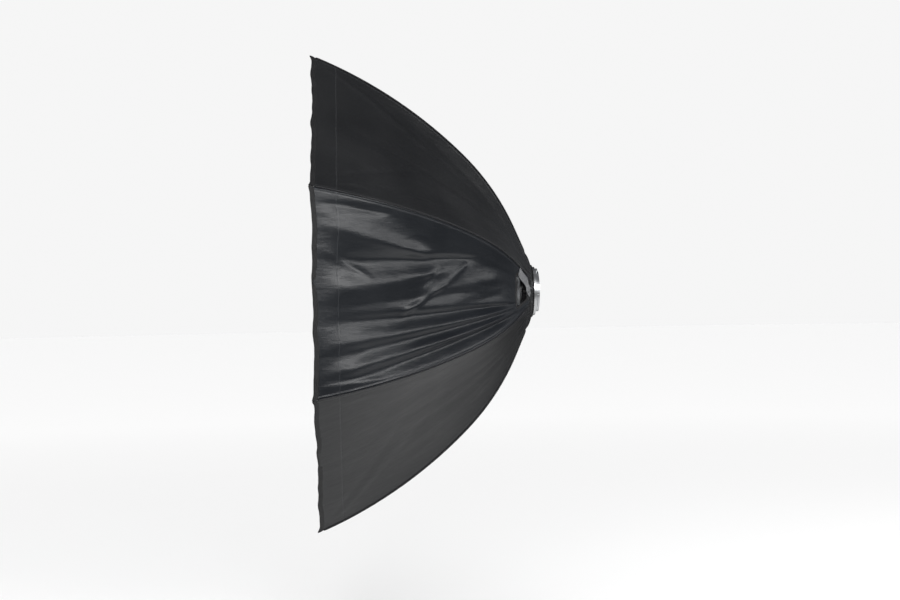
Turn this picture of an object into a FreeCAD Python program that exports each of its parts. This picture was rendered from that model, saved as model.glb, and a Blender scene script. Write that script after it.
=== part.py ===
"""An octagonal studio softbox on eight spring rods, with a bayonet speed ring.

The origin is on the axis, in the plane where the bayonet seats on a strobe. +X points back to the
strobe, the softbox opens towards -X, and +Z is up. Lengths are in millimetres, angles in degrees.
"""

import FreeCAD
import Part
import Sketcher
import math
import os

SIDES = 8
CORNER_TURN = 180 / SIDES
STEP_TURN = 360 / SIDES
LUGS = 3
SCREWS = 6
FLUTES = 10
# Length of the construction lines that profiles are turned about.
AXIS_REACH = 10
# How many times the thickness in its way a cut reaches, each way.
CUT_BEYOND = 2
# A strap's sewn end and free end on its gore: distance from the root, distance across.
STRAP_SEWN = (70, -47)
STRAP_FREE = (1, 6)

# Each driving dimension: its name, its value and what it measures.
DIMENSIONS = (
    ("across_corners", 1200, "front edge, corner to corner, outside the cloth"),
    ("cloth", 1.6, "thickness of a sewn cloth wall"),
    ("rod_dia", 4, "spring rod"),
    ("cloth_clear", 0.6, "corner pocket to the inner face of the cloth"),
    ("rod_straight", 45, "straight run of a rod from the bottom of its socket"),
    ("root_angle", 72, "rod to axis at the ring"),
    ("seam_angle", 66, "cloth to axis where it leaves the collar"),
    ("waist_angle", 46, "rod to axis where its bend eases"),
    ("tip_angle", 24, "rod to axis at its tip"),
    ("waist_bend", 635, "bend radius of a rod between ring and waist"),
    ("pocket_margin", 0.5, "corner pocket to the bound front edge, along a rod"),
    ("binding_width", 10, "bound front edge"),
    ("binding_thick", 2.4, "bound front edge"),
    ("lip_depth", 58, "front edge to the diffuser"),
    ("tape_width", 24, "hook and loop tape"),
    ("tape_thick", 2.2, "hook or loop tape"),
    ("tape_end_gap", 16, "end of a tape to the seam"),
    ("tape_gap", 0.4, "between facing tapes"),
    ("diffuser_gap", 0.6, "diffuser to the rods"),
    ("diffuser_thick", 1.4, "diffuser cloth"),
    ("piping_dia", 3, "piping sewn along a seam"),
    ("core_bore", 97, "clear way for the flash tube"),
    ("neck_wall", 2, "bayonet neck round the bore"),
    ("neck_length", 9, "bayonet neck behind the seat"),
    ("lug_height", 5.25, "bayonet lug above its neck"),
    ("lug_start", 4, "seat to lug"),
    ("lug_thick", 3, "bayonet lug"),
    ("lug_turn", 38, "angle that one lug covers"),
    ("shoulder_step", 3, "shoulder of the core above the journal"),
    ("shoulder_length", 11, "shoulder in front of the seat"),
    ("core_wall", 8.5, "core round the bore where the rod ring turns"),
    ("running_gap", 0.08, "radial clearance of the turning ring"),
    ("end_play", 0.2, "axial clearance of the turning ring, each end"),
    ("ring_length", 25.8, "rod ring, along the axis"),
    ("ring_wall", 13, "journal to the outside of the rod ring behind its flange"),
    ("flange_height", 9, "flange round the sockets above the rod ring"),
    ("flange_length", 11.5, "socket flange, along the axis"),
    ("flange_slope", 2, "slope behind the socket flange"),
    ("ring_chamfer", 8, "rear edge of the rod ring"),
    ("socket_wall", 4, "journal to the bottom of a socket"),
    ("socket_inset", 9.9, "flange front face to a socket's axis at the ring diameter"),
    ("ferrule_dia", 6, "sleeve on the root of a rod"),
    ("ferrule_length", 24, "root of a rod to the end of its sleeve"),
    ("ferrule_seat", 0.2, "root of a rod to the start of its sleeve"),
    ("ferrule_slope", 1, "slope at the end of the sleeve"),
    ("socket_gap", 0.1, "radial clearance of a ferrule in its socket"),
    ("retainer_thick", 3, "retaining ring"),
    ("retainer_lip", 7, "retaining ring beyond the journal"),
    ("retainer_inset", 1, "bore of the core to that of the retaining ring"),
    ("screw_dia", 3, "retaining screw"),
    ("screw_length", 10, "retaining screw under its head"),
    ("screw_head", 6, "countersunk head"),
    ("stud_dia", 6, "lock stud"),
    ("stud_chamfer", 1, "inner end of the lock stud"),
    ("knob_dia", 12, "lock knob"),
    ("knob_height", 7, "lock knob"),
    ("knob_chamfer", 2, "both ends of the lock knob"),
    ("knob_gap", 0.5, "flange to lock knob"),
    ("knob_roof", 1.75, "end of the stud to the end of the knob"),
    ("knob_inset", 4, "flange front face to the lock stud's axis"),
    ("flute_dia", 2, "finger flute on the lock knob"),
    ("flute_depth", 0.67, "finger flute on the lock knob"),
    ("cap_wall", 1.4, "tip cap round a rod"),
    ("cap_length", 13, "tip cap"),
    ("cap_nose", 3, "tip cap beyond the end of a rod"),
    ("cap_slope", 1.5, "slope round the nose of a tip cap"),
    ("pocket_wall", 0.9, "corner pocket round a tip cap"),
    ("pocket_lead", 4, "corner pocket behind its tip cap"),
    ("fit_gap", 0.1, "between pieces that are pushed or sewn together"),
    ("collar_gap", 1.1, "collar to rod ring, measured radially"),
    ("collar_thick", 2, "collar cloth, measured radially"),
    ("collar_end", 9.2, "seat to the rear edge of the collar"),
    ("elastic_dia", 3.2, "elastic in the collar's hem"),
    ("panel_start", 21.5, "seat to the root of a gore"),
    ("baffle_gap", 56, "corner of the baffle to the rods"),
    ("baffle_hem", 20, "bound edge of the baffle"),
    ("tab_width", 20, "elastic tab of the baffle"),
    ("tab_thick", 1.2, "elastic tab of the baffle"),
    ("tab_overlap", 18, "tab sewn over the baffle's hem"),
    ("clip_length", 9, "clip on a rod"),
    ("clip_wall", 1.7, "clip on a rod"),
    ("clip_tongue", 14, "clip, from the rod's axis to the end of its tongue"),
    ("tongue_width", 12, "tongue of a clip"),
    ("opening_start", 8, "collar to the access opening, along the axis"),
    ("opening_length", 28, "access opening, along the axis"),
    ("opening_root", 19, "half the access opening at the collar"),
    ("opening_front", 40, "half the access opening at its front edge"),
    ("edge_tape", 7, "binding round an access opening"),
    ("edge_thick", 0.8, "binding round an access opening"),
    ("strap_width", 24, "closing strap"),
    ("strap_thick", 1.4, "closing strap"),
    ("patch_length", 22, "hook or loop patch of a strap"),
    ("patch_thick", 0.5, "hook or loop patch of a strap"),
)

# Direction of each gore: its turn about X from straight up. "near" is the -Y side.
GORES = ("top", "upper_near", "near", "lower_near", "bottom", "lower_far", "far", "upper_far")


class Size:
    """A length or angle that keeps its value and the expression that gives it from the sheet."""

    def __init__(self, value, text):
        self.value = value
        self.text = text

    def __add__(self, other):
        other = size(other)
        return Size(self.value + other.value, f"({self.text} + {other.text})")

    def __sub__(self, other):
        other = size(other)
        return Size(self.value - other.value, f"({self.text} - {other.text})")

    def __mul__(self, other):
        other = size(other)
        return Size(self.value * other.value, f"({self.text} * {other.text})")

    def __truediv__(self, other):
        other = size(other)
        return Size(self.value / other.value, f"({self.text} / {other.text})")

    def __neg__(self):
        return Size(-self.value, f"(0 - {self.text})")

    def __rmul__(self, other):
        return size(other) * self

    def __radd__(self, other):
        return size(other) + self

    def __rsub__(self, other):
        return size(other) - self


def size(number):
    """A plain number as a Size."""
    if isinstance(number, Size):
        return number
    return Size(float(number), f"{number}")


def sine(angle):
    angle = size(angle)
    return Size(math.sin(math.radians(angle.value)), f"sin({angle.text})")


def cosine(angle):
    angle = size(angle)
    return Size(math.cos(math.radians(angle.value)), f"cos({angle.text})")


def tangent(angle):
    return sine(angle) / cosine(angle)


def arcsine(share):
    return Size(math.degrees(math.asin(share.value)), f"asin({share.text})")


doc = FreeCAD.newDocument("softbox")
sheet = doc.addObject("Spreadsheet::Sheet", "Sizes")
for row, (alias, number, note) in enumerate(DIMENSIONS, start=1):
    sheet.set(f"A{row}", alias)
    sheet.set(f"B{row}", str(number))
    sheet.set(f"C{row}", note)
    sheet.setAlias(f"B{row}", alias)
doc.recompute()


def given(alias):
    """A driving dimension from the sheet."""
    return Size(float(sheet.get(alias)), f"Sizes.{alias}")


# ---- sketches and bodies -------------------------------------------------------------------------


def new_body(name, turn=0.0, many=False):
    """A body for one sub-part, turned about X. A group of identical solids sets many."""
    body = doc.addObject("PartDesign::Body", name)
    body.Label = name
    if many:
        body.AllowCompound = True
    body.Placement = FreeCAD.Placement(
        FreeCAD.Vector(), FreeCAD.Rotation(FreeCAD.Vector(1, 0, 0), turn)
    )
    return body


def origin_part(body, role):
    """A plane or axis of the body's own origin."""
    return next(item for item in body.Origin.OriginFeatures if item.Role == role)


def new_sketch(body, plane="XZ_Plane", turn=0.0, offset=None):
    """A sketch on an origin plane, turned about X and moved along its own normal."""
    sketch = body.newObject("Sketcher::SketchObject", f"{body.Label}_sketch")
    sketch.AttachmentSupport = [(origin_part(body, plane), "")]
    sketch.MapMode = "FlatFace"
    if turn:
        sketch.AttachmentOffset = FreeCAD.Placement(
            FreeCAD.Vector(), FreeCAD.Rotation(FreeCAD.Vector(1, 0, 0), turn)
        )
    if offset is not None:
        sketch.setExpression(".AttachmentOffset.Base.z", offset.text)
    return sketch


def flat(point):
    return FreeCAD.Vector(point[0].value, point[1].value, 0)


def bind(sketch, kind, *where, value):
    """Adds one dimension to a sketch and ties it to the sheet."""
    index = sketch.addConstraint(Sketcher.Constraint(kind, *where, value.value))
    sketch.setExpression(f"Constraints[{index}]", value.text)


def arc_between(start, end, radius):
    """The shorter arc between two points. It bends left of the way it runs if radius is positive."""
    middle = (start + end) * 0.5
    along = end - start
    side = FreeCAD.Vector(-along.y, along.x, 0).normalize()
    reach = math.sqrt(radius**2 - (along.Length / 2) ** 2)
    centre = middle + side * reach * (1 if radius > 0 else -1)
    turn = [math.atan2(p.y - centre.y, p.x - centre.x) for p in (start, end)]
    if radius < 0:
        turn.reverse()
    circle = Part.Circle(centre, FreeCAD.Vector(0, 0, 1), abs(radius))
    return Part.ArcOfCircle(circle, *turn)


def outline(sketch, corners, bends=None, closed=True):
    """Joins corners by lines, and by an arc where bends gives its radius. Every corner is tied."""
    corners = [(size(a), size(b)) for a, b in corners]
    bends = bends or {}
    ends = []
    count = len(corners) if closed else len(corners) - 1
    for i in range(count):
        start = flat(corners[i])
        end = flat(corners[(i + 1) % len(corners)])
        if i in bends:
            edge = sketch.addGeometry(arc_between(start, end, bends[i].value), False)
            ends.append((edge, 1, 2) if bends[i].value > 0 else (edge, 2, 1))
        else:
            edge = sketch.addGeometry(Part.LineSegment(start, end), False)
            ends.append((edge, 1, 2))
    for i, (edge, first, last) in enumerate(ends):
        bind(sketch, "DistanceX", -1, 1, edge, first, value=corners[i][0])
        bind(sketch, "DistanceY", -1, 1, edge, first, value=corners[i][1])
        if i + 1 < count or closed:
            following = ends[(i + 1) % count]
            sketch.addConstraint(
                Sketcher.Constraint("Coincident", edge, last, following[0], following[1])
            )
        else:
            bind(sketch, "DistanceX", -1, 1, edge, last, value=corners[-1][0])
            bind(sketch, "DistanceY", -1, 1, edge, last, value=corners[-1][1])
        if i in bends:
            bent = bends[i] if bends[i].value > 0 else -bends[i]
            bind(sketch, "Radius", edge, value=bent)
    return sketch


def axis_line(sketch, start, end):
    """A construction line, to turn a profile about."""
    start = (size(start[0]), size(start[1]))
    end = (size(end[0]), size(end[1]))
    edge = sketch.addGeometry(Part.LineSegment(flat(start), flat(end)), True)
    for place, point in ((1, start), (2, end)):
        bind(sketch, "DistanceX", -1, 1, edge, place, value=point[0])
        bind(sketch, "DistanceY", -1, 1, edge, place, value=point[1])


def circle_at(sketch, centre, radius):
    centre = (size(centre[0]), size(centre[1]))
    edge = sketch.addGeometry(
        Part.Circle(flat(centre), FreeCAD.Vector(0, 0, 1), radius.value), False
    )
    bind(sketch, "DistanceX", -1, 1, edge, 3, value=centre[0])
    bind(sketch, "DistanceY", -1, 1, edge, 3, value=centre[1])
    bind(sketch, "Radius", edge, value=radius)


def revolve(body, sketch, axis, kind="PartDesign::Revolution"):
    feature = body.newObject(kind, f"{body.Label}_turned")
    feature.Profile = sketch
    feature.ReferenceAxis = axis
    feature.Angle = 360
    return feature


def turned_about_x(body, corners, bends=None):
    """A solid of revolution about the softbox's axis."""
    sketch = outline(new_sketch(body), corners, bends)
    return revolve(body, sketch, (origin_part(body, "X_Axis"), [""]))


def pad(body, sketch, length, midplane=False, kind="PartDesign::Pad", reverse=False):
    feature = body.newObject(kind, f"{body.Label}_extruded")
    feature.Profile = sketch
    feature.setExpression("Length", size(length).text)
    feature.Midplane = midplane
    feature.Reversed = reverse
    return feature


def around(body, features, count, axis="X_Axis"):
    """Repeats features about an origin axis and makes the pattern the body's result."""
    pattern = body.newObject("PartDesign::PolarPattern", f"{body.Label}_pattern")
    pattern.Originals = features
    pattern.Axis = (origin_part(body, axis), [""])
    pattern.Angle = 360
    pattern.Occurrences = count
    body.Tip = pattern
    return pattern


# ---- layout worked out from the driving dimensions -----------------------------------------------

# Along the axis, from the seat at X = 0 towards the open front.
shoulder_x = -given("shoulder_length")
ring_back_x = shoulder_x - given("end_play")
ring_front_x = ring_back_x - given("ring_length")
retainer_back_x = ring_front_x - given("end_play")
retainer_front_x = retainer_back_x - given("retainer_thick")

bore_r = given("core_bore") / 2
neck_r = bore_r + given("neck_wall")
journal_r = bore_r + given("core_wall")
ring_bore_r = journal_r + given("running_gap")
ring_r = journal_r + given("ring_wall")
flange_r = ring_r + given("flange_height")
retainer_r = journal_r + given("retainer_lip")
retainer_bore_r = bore_r + given("retainer_inset")
screw_circle_r = (bore_r + journal_r) / 2

# A rod lies in the plane of its corner. Points there are (X, distance from the axis).
rod_r = given("rod_dia") / 2
socket_r = given("ferrule_dia") / 2 + given("socket_gap")
root_r = ring_bore_r + given("socket_wall")
root = (
    ring_front_x + given("socket_inset") + (ring_r - root_r) / tangent(given("root_angle")),
    root_r,
)


def ahead(point, angle, distance):
    """A point further along a line that leans at an angle to the axis, towards the front."""
    return (point[0] - cosine(angle) * distance, point[1] + sine(angle) * distance)


def outward(point, angle, distance):
    """A point beside a line that leans at an angle to the axis, on its outer side."""
    return (point[0] + sine(angle) * distance, point[1] + cosine(angle) * distance)


def round_bend(point, start_angle, end_angle, radius):
    """Where an arc ends that starts at a point and eases from one lean to another."""
    return (
        point[0] - radius * (sine(start_angle) - sine(end_angle)),
        point[1] + radius * (cosine(end_angle) - cosine(start_angle)),
    )


# A tip cap, its pocket and the cloth lie round the rod one outside the other.
cap_r = rod_r + given("cap_wall")
pocket_in = cap_r + given("fit_gap")
pocket_out = pocket_in + given("pocket_wall")
cloth_in = pocket_out + given("cloth_clear")
cloth_out = cloth_in + given("cloth")

# Distances along a rod, from its tip towards the front.
pocket_floor = given("cap_nose") + given("fit_gap")
pocket_front = pocket_floor + given("pocket_wall")
cloth_end = pocket_front + given("pocket_margin")
front_margin = cloth_end + given("binding_width")

root_angle = given("root_angle")
waist_angle = given("waist_angle")
tip_angle = given("tip_angle")
waist_bend = given("waist_bend")
rod_bend_start = ahead(root, root_angle, given("rod_straight"))
rod_waist = round_bend(rod_bend_start, root_angle, waist_angle, waist_bend)
tip_r = (
    given("across_corners") / 2
    - cosine(tip_angle) * cloth_out
    - sine(tip_angle) * front_margin
)
tip_bend = (tip_r - rod_waist[1]) / (cosine(tip_angle) - cosine(waist_angle))
rod_tip = round_bend(rod_waist, waist_angle, tip_angle, tip_bend)

# The cloth follows the rods at a constant distance from the seam angle on.
seam_angle = given("seam_angle")
flat_share = cosine(CORNER_TURN)
half_share = sine(CORNER_TURN)


def cloth_line(distance):
    """Corners of the cloth's seam line at a distance outside the rods: root, seam, waist, tip, edge."""
    seam = outward(
        round_bend(rod_bend_start, root_angle, seam_angle, waist_bend), seam_angle, distance
    )
    waist = outward(rod_waist, waist_angle, distance)
    tip = outward(rod_tip, tip_angle, distance)
    edge = ahead(tip, tip_angle, cloth_end)
    start_x = -given("panel_start")
    start = (start_x, seam[1] - (start_x - seam[0]) * tangent(seam_angle))
    return [start, seam, waist, tip, edge]


def flattened(point):
    """A point of the seam line brought to the middle of a flat gore."""
    return (point[0], point[1] * flat_share)


def lean_of(start, end):
    """Angle to the axis of the line between two points."""
    return math.degrees(
        math.atan2(end[1].value - start[1].value, start[0].value - end[0].value)
    )


def bent_radius(start, end, start_angle, end_angle):
    """Radius of the flat gore's arc whose ends and turn are those of the seam line's arc."""
    turned = [
        math.degrees(math.atan(math.tan(math.radians(a.value)) * flat_share.value))
        for a in (start_angle, end_angle)
    ]
    chord = math.hypot(end[0].value - start[0].value, end[1].value - start[1].value)
    return size(round(chord / 2 / math.sin(math.radians(turned[0] - turned[1]) / 2), 3))



made = {}


def keep(item):
    """Records a finished sub-part under its label."""
    made[item.Label] = item
    return item


# ---- bayonet core, rod ring and lock -------------------------------------------------------------


def bayonet_core():
    body = new_body("bayonet_core")
    neck_end_x = given("neck_length")
    shoulder_r = journal_r + given("shoulder_step")
    turned_about_x(
        body,
        [
            (retainer_back_x, bore_r),
            (neck_end_x, bore_r),
            (neck_end_x, neck_r),
            (0, neck_r),
            (0, shoulder_r),
            (shoulder_x, shoulder_r),
            (shoulder_x, journal_r),
            (retainer_back_x, journal_r),
        ],
    )
    lug_r = neck_r + given("lug_height")
    half_turn = given("lug_turn") / 2
    lug_sketch = new_sketch(body, "YZ_Plane", offset=given("lug_start"))
    sunk_r = (bore_r + neck_r) / 2
    outline(
        lug_sketch,
        [
            (sine(half_turn) * sunk_r, cosine(half_turn) * sunk_r),
            (sine(half_turn) * lug_r, cosine(half_turn) * lug_r),
            (-sine(half_turn) * lug_r, cosine(half_turn) * lug_r),
            (-sine(half_turn) * sunk_r, cosine(half_turn) * sunk_r),
        ],
        {1: lug_r, 3: -sunk_r},
    )
    lug = pad(body, lug_sketch, given("lug_thick"))
    around(body, [lug], LUGS)
    hole_sketch = new_sketch(body, "YZ_Plane", offset=retainer_back_x)
    circle_at(hole_sketch, (0, screw_circle_r), given("screw_dia") / 2 + given("fit_gap"))
    hole_depth = given("screw_length") - given("retainer_thick") + 2 * given("fit_gap")
    hole = pad(body, hole_sketch, hole_depth, kind="PartDesign::Pocket", reverse=True)
    around(body, [hole], SCREWS)
    keep(body)


def retaining_ring():
    body = new_body("retaining_ring")
    turned_about_x(
        body,
        [
            (retainer_front_x, retainer_bore_r),
            (retainer_back_x, retainer_bore_r),
            (retainer_back_x, retainer_r),
            (retainer_front_x, retainer_r),
        ],
    )
    sketch = screw_profile(body, given("fit_gap"), given("retainer_thick"))
    seat = revolve(body, sketch, (sketch, ["Axis0"]), "PartDesign::Groove")
    around(body, [seat], SCREWS)
    keep(body)


def screw_profile(body, gap, length):
    """Half of a countersunk screw, head flush with the front of the retaining ring."""
    shank_r = given("screw_dia") / 2
    head_r = given("screw_head") / 2
    sketch = new_sketch(body)
    head_depth = head_r - shank_r
    end_x = retainer_front_x + length
    axis_line(sketch, (retainer_front_x, screw_circle_r), (end_x, screw_circle_r))
    outline(
        sketch,
        [
            (retainer_front_x, screw_circle_r),
            (end_x, screw_circle_r),
            (end_x, screw_circle_r + shank_r + gap),
            (retainer_front_x + head_depth, screw_circle_r + shank_r + gap),
            (retainer_front_x, screw_circle_r + head_r + gap),
        ],
    )
    return sketch


def retaining_screws():
    body = new_body("retaining_screws", many=True)
    sketch = screw_profile(body, size(0), given("screw_length"))
    screw = revolve(body, sketch, (sketch, ["Axis0"]))
    around(body, [screw], SCREWS)
    keep(body)


def rod_ring():
    body = new_body("rod_ring")
    chamfer = given("ring_chamfer")
    flange_back_x = ring_front_x + given("flange_length")
    turned_about_x(
        body,
        [
            (ring_back_x, ring_bore_r),
            (ring_back_x, ring_r - chamfer),
            (ring_back_x - chamfer, ring_r),
            (flange_back_x + given("flange_slope"), ring_r),
            (flange_back_x, flange_r),
            (ring_front_x, flange_r),
            (ring_front_x, ring_bore_r),
        ],
    )
    sketch = new_sketch(body, turn=CORNER_TURN)
    beyond = ahead(root, root_angle, given("ferrule_length") + socket_r)
    axis_line(sketch, root, beyond)
    outline(
        sketch,
        [root, beyond, outward(beyond, root_angle, socket_r), outward(root, root_angle, socket_r)],
    )
    socket = revolve(body, sketch, (sketch, ["Axis0"]), "PartDesign::Groove")
    around(body, [socket], SIDES)
    stud_hole = doc.addObject("Part::Cylinder", "lock_hole")
    stud_hole.setExpression("Radius", (given("stud_dia") / 2 + given("fit_gap")).text)
    stud_hole.setExpression("Height", flange_r.text)
    stud_hole.Placement = toward_near()
    ring = doc.addObject("Part::Cut", "rod_ring_drilled")
    ring.Base = body
    ring.Tool = stud_hole
    body.Label = "rod_ring_blank"
    ring.Label = "rod_ring"
    keep(ring)


def toward_near():
    """The lock stud's place: its axis runs from the softbox's axis to the near side."""
    return FreeCAD.Placement(
        FreeCAD.Vector((ring_front_x + given("knob_inset")).value, 0, 0),
        FreeCAD.Rotation(FreeCAD.Vector(1, 0, 0), 90),
    )


def lock_screw():
    stud_r = given("stud_dia") / 2
    knob_r = given("knob_dia") / 2
    knob_start = flange_r + given("knob_gap")
    knob_end = knob_start + given("knob_height")
    stud_end = knob_end - given("knob_roof")
    knob_chamfer = given("knob_chamfer")
    stud_chamfer = given("stud_chamfer")
    stud = new_body("lock_stud")
    stud.Placement = toward_near()
    tip_start = ring_bore_r + given("fit_gap")
    sketch = outline(
        new_sketch(stud),
        [
            (0, tip_start),
            (stud_r - stud_chamfer, tip_start),
            (stud_r, tip_start + stud_chamfer),
            (stud_r, stud_end),
            (0, stud_end),
        ],
    )
    revolve(stud, sketch, (origin_part(stud, "Z_Axis"), [""]))
    keep(stud)
    knob = new_body("lock_knob")
    knob.Placement = toward_near()
    inner_r = stud_r + given("fit_gap") / 2
    sketch = outline(
        new_sketch(knob),
        [
            (inner_r, knob_start),
            (knob_r - knob_chamfer, knob_start),
            (knob_r, knob_start + knob_chamfer),
            (knob_r, knob_end - knob_chamfer),
            (knob_r - knob_chamfer, knob_end),
            (0, knob_end),
            (0, stud_end + given("fit_gap")),
            (inner_r, stud_end + given("fit_gap")),
        ],
    )
    revolve(knob, sketch, (origin_part(knob, "Z_Axis"), [""]))
    flute_sketch = new_sketch(knob, "XY_Plane", offset=knob_start)
    flute_r = given("flute_dia") / 2
    circle_at(flute_sketch, (knob_r + flute_r - given("flute_depth"), 0), flute_r)
    flute = pad(knob, flute_sketch, given("knob_height"), kind="PartDesign::Pocket", reverse=True)
    around(knob, [flute], FLUTES, "Z_Axis")
    keep(knob)


# ---- rods and what sits on them ------------------------------------------------------------------


def round_along(body, path, radius, edges):
    """A round bar along a path."""
    section = body.newObject("Sketcher::SketchObject", f"{body.Label}_section")
    section.AttachmentSupport = [(path, "Edge1")]
    section.MapMode = "NormalToEdge"
    section.MapPathParameter = 0
    circle_at(section, (0, 0), radius)
    pipe = body.newObject("PartDesign::AdditivePipe", f"{body.Label}_pipe")
    pipe.Profile = section
    pipe.Spine = (path, [f"Edge{i + 1}" for i in range(edges)])
    return pipe


def rods():
    for i in range(SIDES):
        body = new_body(f"rod_{i + 1}", CORNER_TURN + STEP_TURN * i)
        points = [root, rod_bend_start, rod_waist, rod_tip]
        path = outline(new_sketch(body), points, {1: waist_bend, 2: tip_bend}, closed=False)
        round_along(body, path, rod_r, 3)
        keep(body)


def sleeves(name, start, angle, profile):
    """A group of turned pieces, one on each rod. The profile is (along, out) from a point on it."""
    body = new_body(name, CORNER_TURN, many=True)
    sketch = new_sketch(body)
    axis_line(sketch, start, ahead(start, angle, size(AXIS_REACH)))
    corners = [outward(ahead(start, angle, size(a)), angle, size(b)) for a, b in profile]
    outline(sketch, corners)
    piece = revolve(body, sketch, (sketch, ["Axis0"]))
    around(body, [piece], SIDES)
    return keep(body)


def rod_ends():
    sleeve_r = rod_r + given("fit_gap") / 2
    start = given("ferrule_seat")
    end = given("ferrule_length")
    slope_start = end - given("ferrule_slope")
    ferrule_r = given("ferrule_dia") / 2
    sleeves(
        "rod_ferrules",
        root,
        root_angle,
        [(start, sleeve_r), (end, sleeve_r), (slope_start, ferrule_r), (start, ferrule_r)],
    )
    nose = given("cap_nose")
    back = nose - given("cap_length")
    gap = given("fit_gap")
    sleeves(
        "rod_tip_caps",
        rod_tip,
        tip_angle,
        [
            (back, sleeve_r),
            (gap, sleeve_r),
            (gap, 0),
            (nose, 0),
            (nose, rod_r),
            (nose - given("cap_slope"), cap_r),
            (back, cap_r),
        ],
    )
    pocket_back = back - given("pocket_lead")
    sleeves(
        "corner_pockets",
        rod_tip,
        tip_angle,
        [
            (pocket_back, pocket_in),
            (pocket_floor, pocket_in),
            (pocket_floor, 0),
            (pocket_front, 0),
            (pocket_front, pocket_out),
            (pocket_back, pocket_out),
        ],
    )


# ---- cloth ---------------------------------------------------------------------------------------


def gore(name, turn, opening):
    """One of the sewn walls: a strip bent along the rods, cut to its wedge between two seams."""
    body = new_body(name, turn)
    outer = cloth_line(cloth_out)
    inner = cloth_line(cloth_in)
    bends = {
        1: bent_radius(flattened(outer[1]), flattened(outer[2]), seam_angle, waist_angle),
        2: bent_radius(flattened(outer[2]), flattened(outer[3]), waist_angle, tip_angle),
        6: -bent_radius(flattened(inner[2]), flattened(inner[3]), waist_angle, tip_angle),
        7: -bent_radius(flattened(inner[1]), flattened(inner[2]), seam_angle, waist_angle),
    }
    corners = [flattened(p) for p in outer] + [flattened(p) for p in reversed(inner)]
    strip_sketch = outline(new_sketch(body), corners, bends)
    reach = given("across_corners")
    pad(body, strip_sketch, reach, midplane=True)
    wide = reach * tangent(CORNER_TURN)
    for side in (1, -1):
        beside = [(0, 0), (wide * side, reach), (reach * side, reach), (reach * side, 0)]
        wedge = outline(new_sketch(body, "YZ_Plane"), beside)
        cut = pad(body, wedge, reach * 2, midplane=True, kind="PartDesign::Pocket")
        body.Tip = cut
    if opening:
        hole = outline(new_sketch(body, "XY_Plane"), opening_corners(size(0)))
        cut = pad(body, hole, reach * 2, midplane=True, kind="PartDesign::Pocket")
        body.Tip = cut
    keep(body)


def opening_corners(margin):
    """The access opening seen from outside, or an outline a margin larger, as (X, sideways)."""
    back_x = -(given("panel_start") + given("opening_start")) + margin
    front_x = back_x - given("opening_length") - margin * 2
    root_half = given("opening_root") + margin
    front_half = given("opening_front") + margin
    return [
        (back_x, root_half),
        (front_x, front_half),
        (front_x, -front_half),
        (back_x, -root_half),
    ]


def gores():
    for i, direction in enumerate(GORES):
        opening = direction in ("near", "far")
        gore(f"gore_{direction}", STEP_TURN * i, opening)


def seam_piping():
    body = new_body("seam_piping", CORNER_TURN, many=True)
    distance = cloth_out / flat_share + given("piping_dia") / 2
    path = outline(
        new_sketch(body),
        cloth_line(distance)[1:4],
        {0: waist_bend + distance, 1: tip_bend + distance},
        closed=False,
    )
    pipe = round_along(body, path, given("piping_dia") / 2, 2)
    around(body, [pipe], SIDES)
    keep(body)


def octagon_prism(name, stations):
    """A ruled eight-sided solid through stations, each an X and a corner radius."""
    rings = []
    for i, (x, corner_r) in enumerate(stations):
        ring = doc.addObject("Part::RegularPolygon", f"{name}_edge_{i + 1}")
        ring.Polygon = SIDES
        ring.setExpression("Circumradius", corner_r.text)
        ring.Placement = FreeCAD.Placement(
            FreeCAD.Vector(x.value, 0, 0),
            FreeCAD.Rotation(FreeCAD.Vector(1, 0, 0), CORNER_TURN)
            * FreeCAD.Rotation(FreeCAD.Vector(0, 1, 0), 90),
        )
        ring.setExpression("Placement.Base.x", x.text)
        rings.append(ring)
    loft = doc.addObject("Part::Loft", name)
    loft.Sections = rings
    loft.Solid = True
    loft.Ruled = True
    return loft


def octagon_band(name, outer, inner):
    """The wall between two eight-sided solids."""
    band = doc.addObject("Part::Cut", name)
    band.Base = octagon_prism(f"{name}_outer", outer)
    band.Tool = octagon_prism(f"{name}_inner", inner)
    band.Label = name
    return keep(band)


front_edge = ahead(outward(rod_tip, tip_angle, cloth_out), tip_angle, front_margin)


def front_binding():
    """The bound edge: it closes the front of the gores and stands a little proud of them."""
    proud = (given("binding_thick") - given("cloth")) / 2
    back_x = cloth_line(cloth_in)[4][0] - given("fit_gap")
    outer = []
    inner = []
    for x in (back_x, front_edge[0]):
        on_face = front_edge[1] - (x - front_edge[0]) * tangent(tip_angle)
        outer.append((x, on_face + proud / cosine(tip_angle)))
        inner.append((x, on_face + (proud - given("binding_thick")) / cosine(tip_angle)))
    octagon_band("front_binding", outer, inner)


# Where the tapes that hold the diffuser sit on the rods' line: their middle and the lean there.
tape_x = front_edge[0] + given("lip_depth") + given("tape_width") / 2
tape_angle = arcsine(sine(waist_angle) - (rod_waist[0] - tape_x) / tip_bend)
tape_middle = round_bend(rod_waist, waist_angle, tape_angle, tip_bend)


def tape_strips(name, out_far, out_near):
    """Eight flat strips inside the lip, each between two rods and short of both."""
    body = new_body(name, many=True)
    half = given("tape_width") / 2
    corners = []
    for along, out in ((-half, out_far), (half, out_far), (half, out_near), (-half, out_near)):
        corners.append(flattened(outward(ahead(tape_middle, tape_angle, along), tape_angle, out)))
    sketch = outline(new_sketch(body), corners)
    length = 2 * (tape_middle[1] * half_share - given("tape_end_gap"))
    strip = pad(body, sketch, length, midplane=True)
    around(body, [strip], SIDES)
    keep(body)


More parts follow.
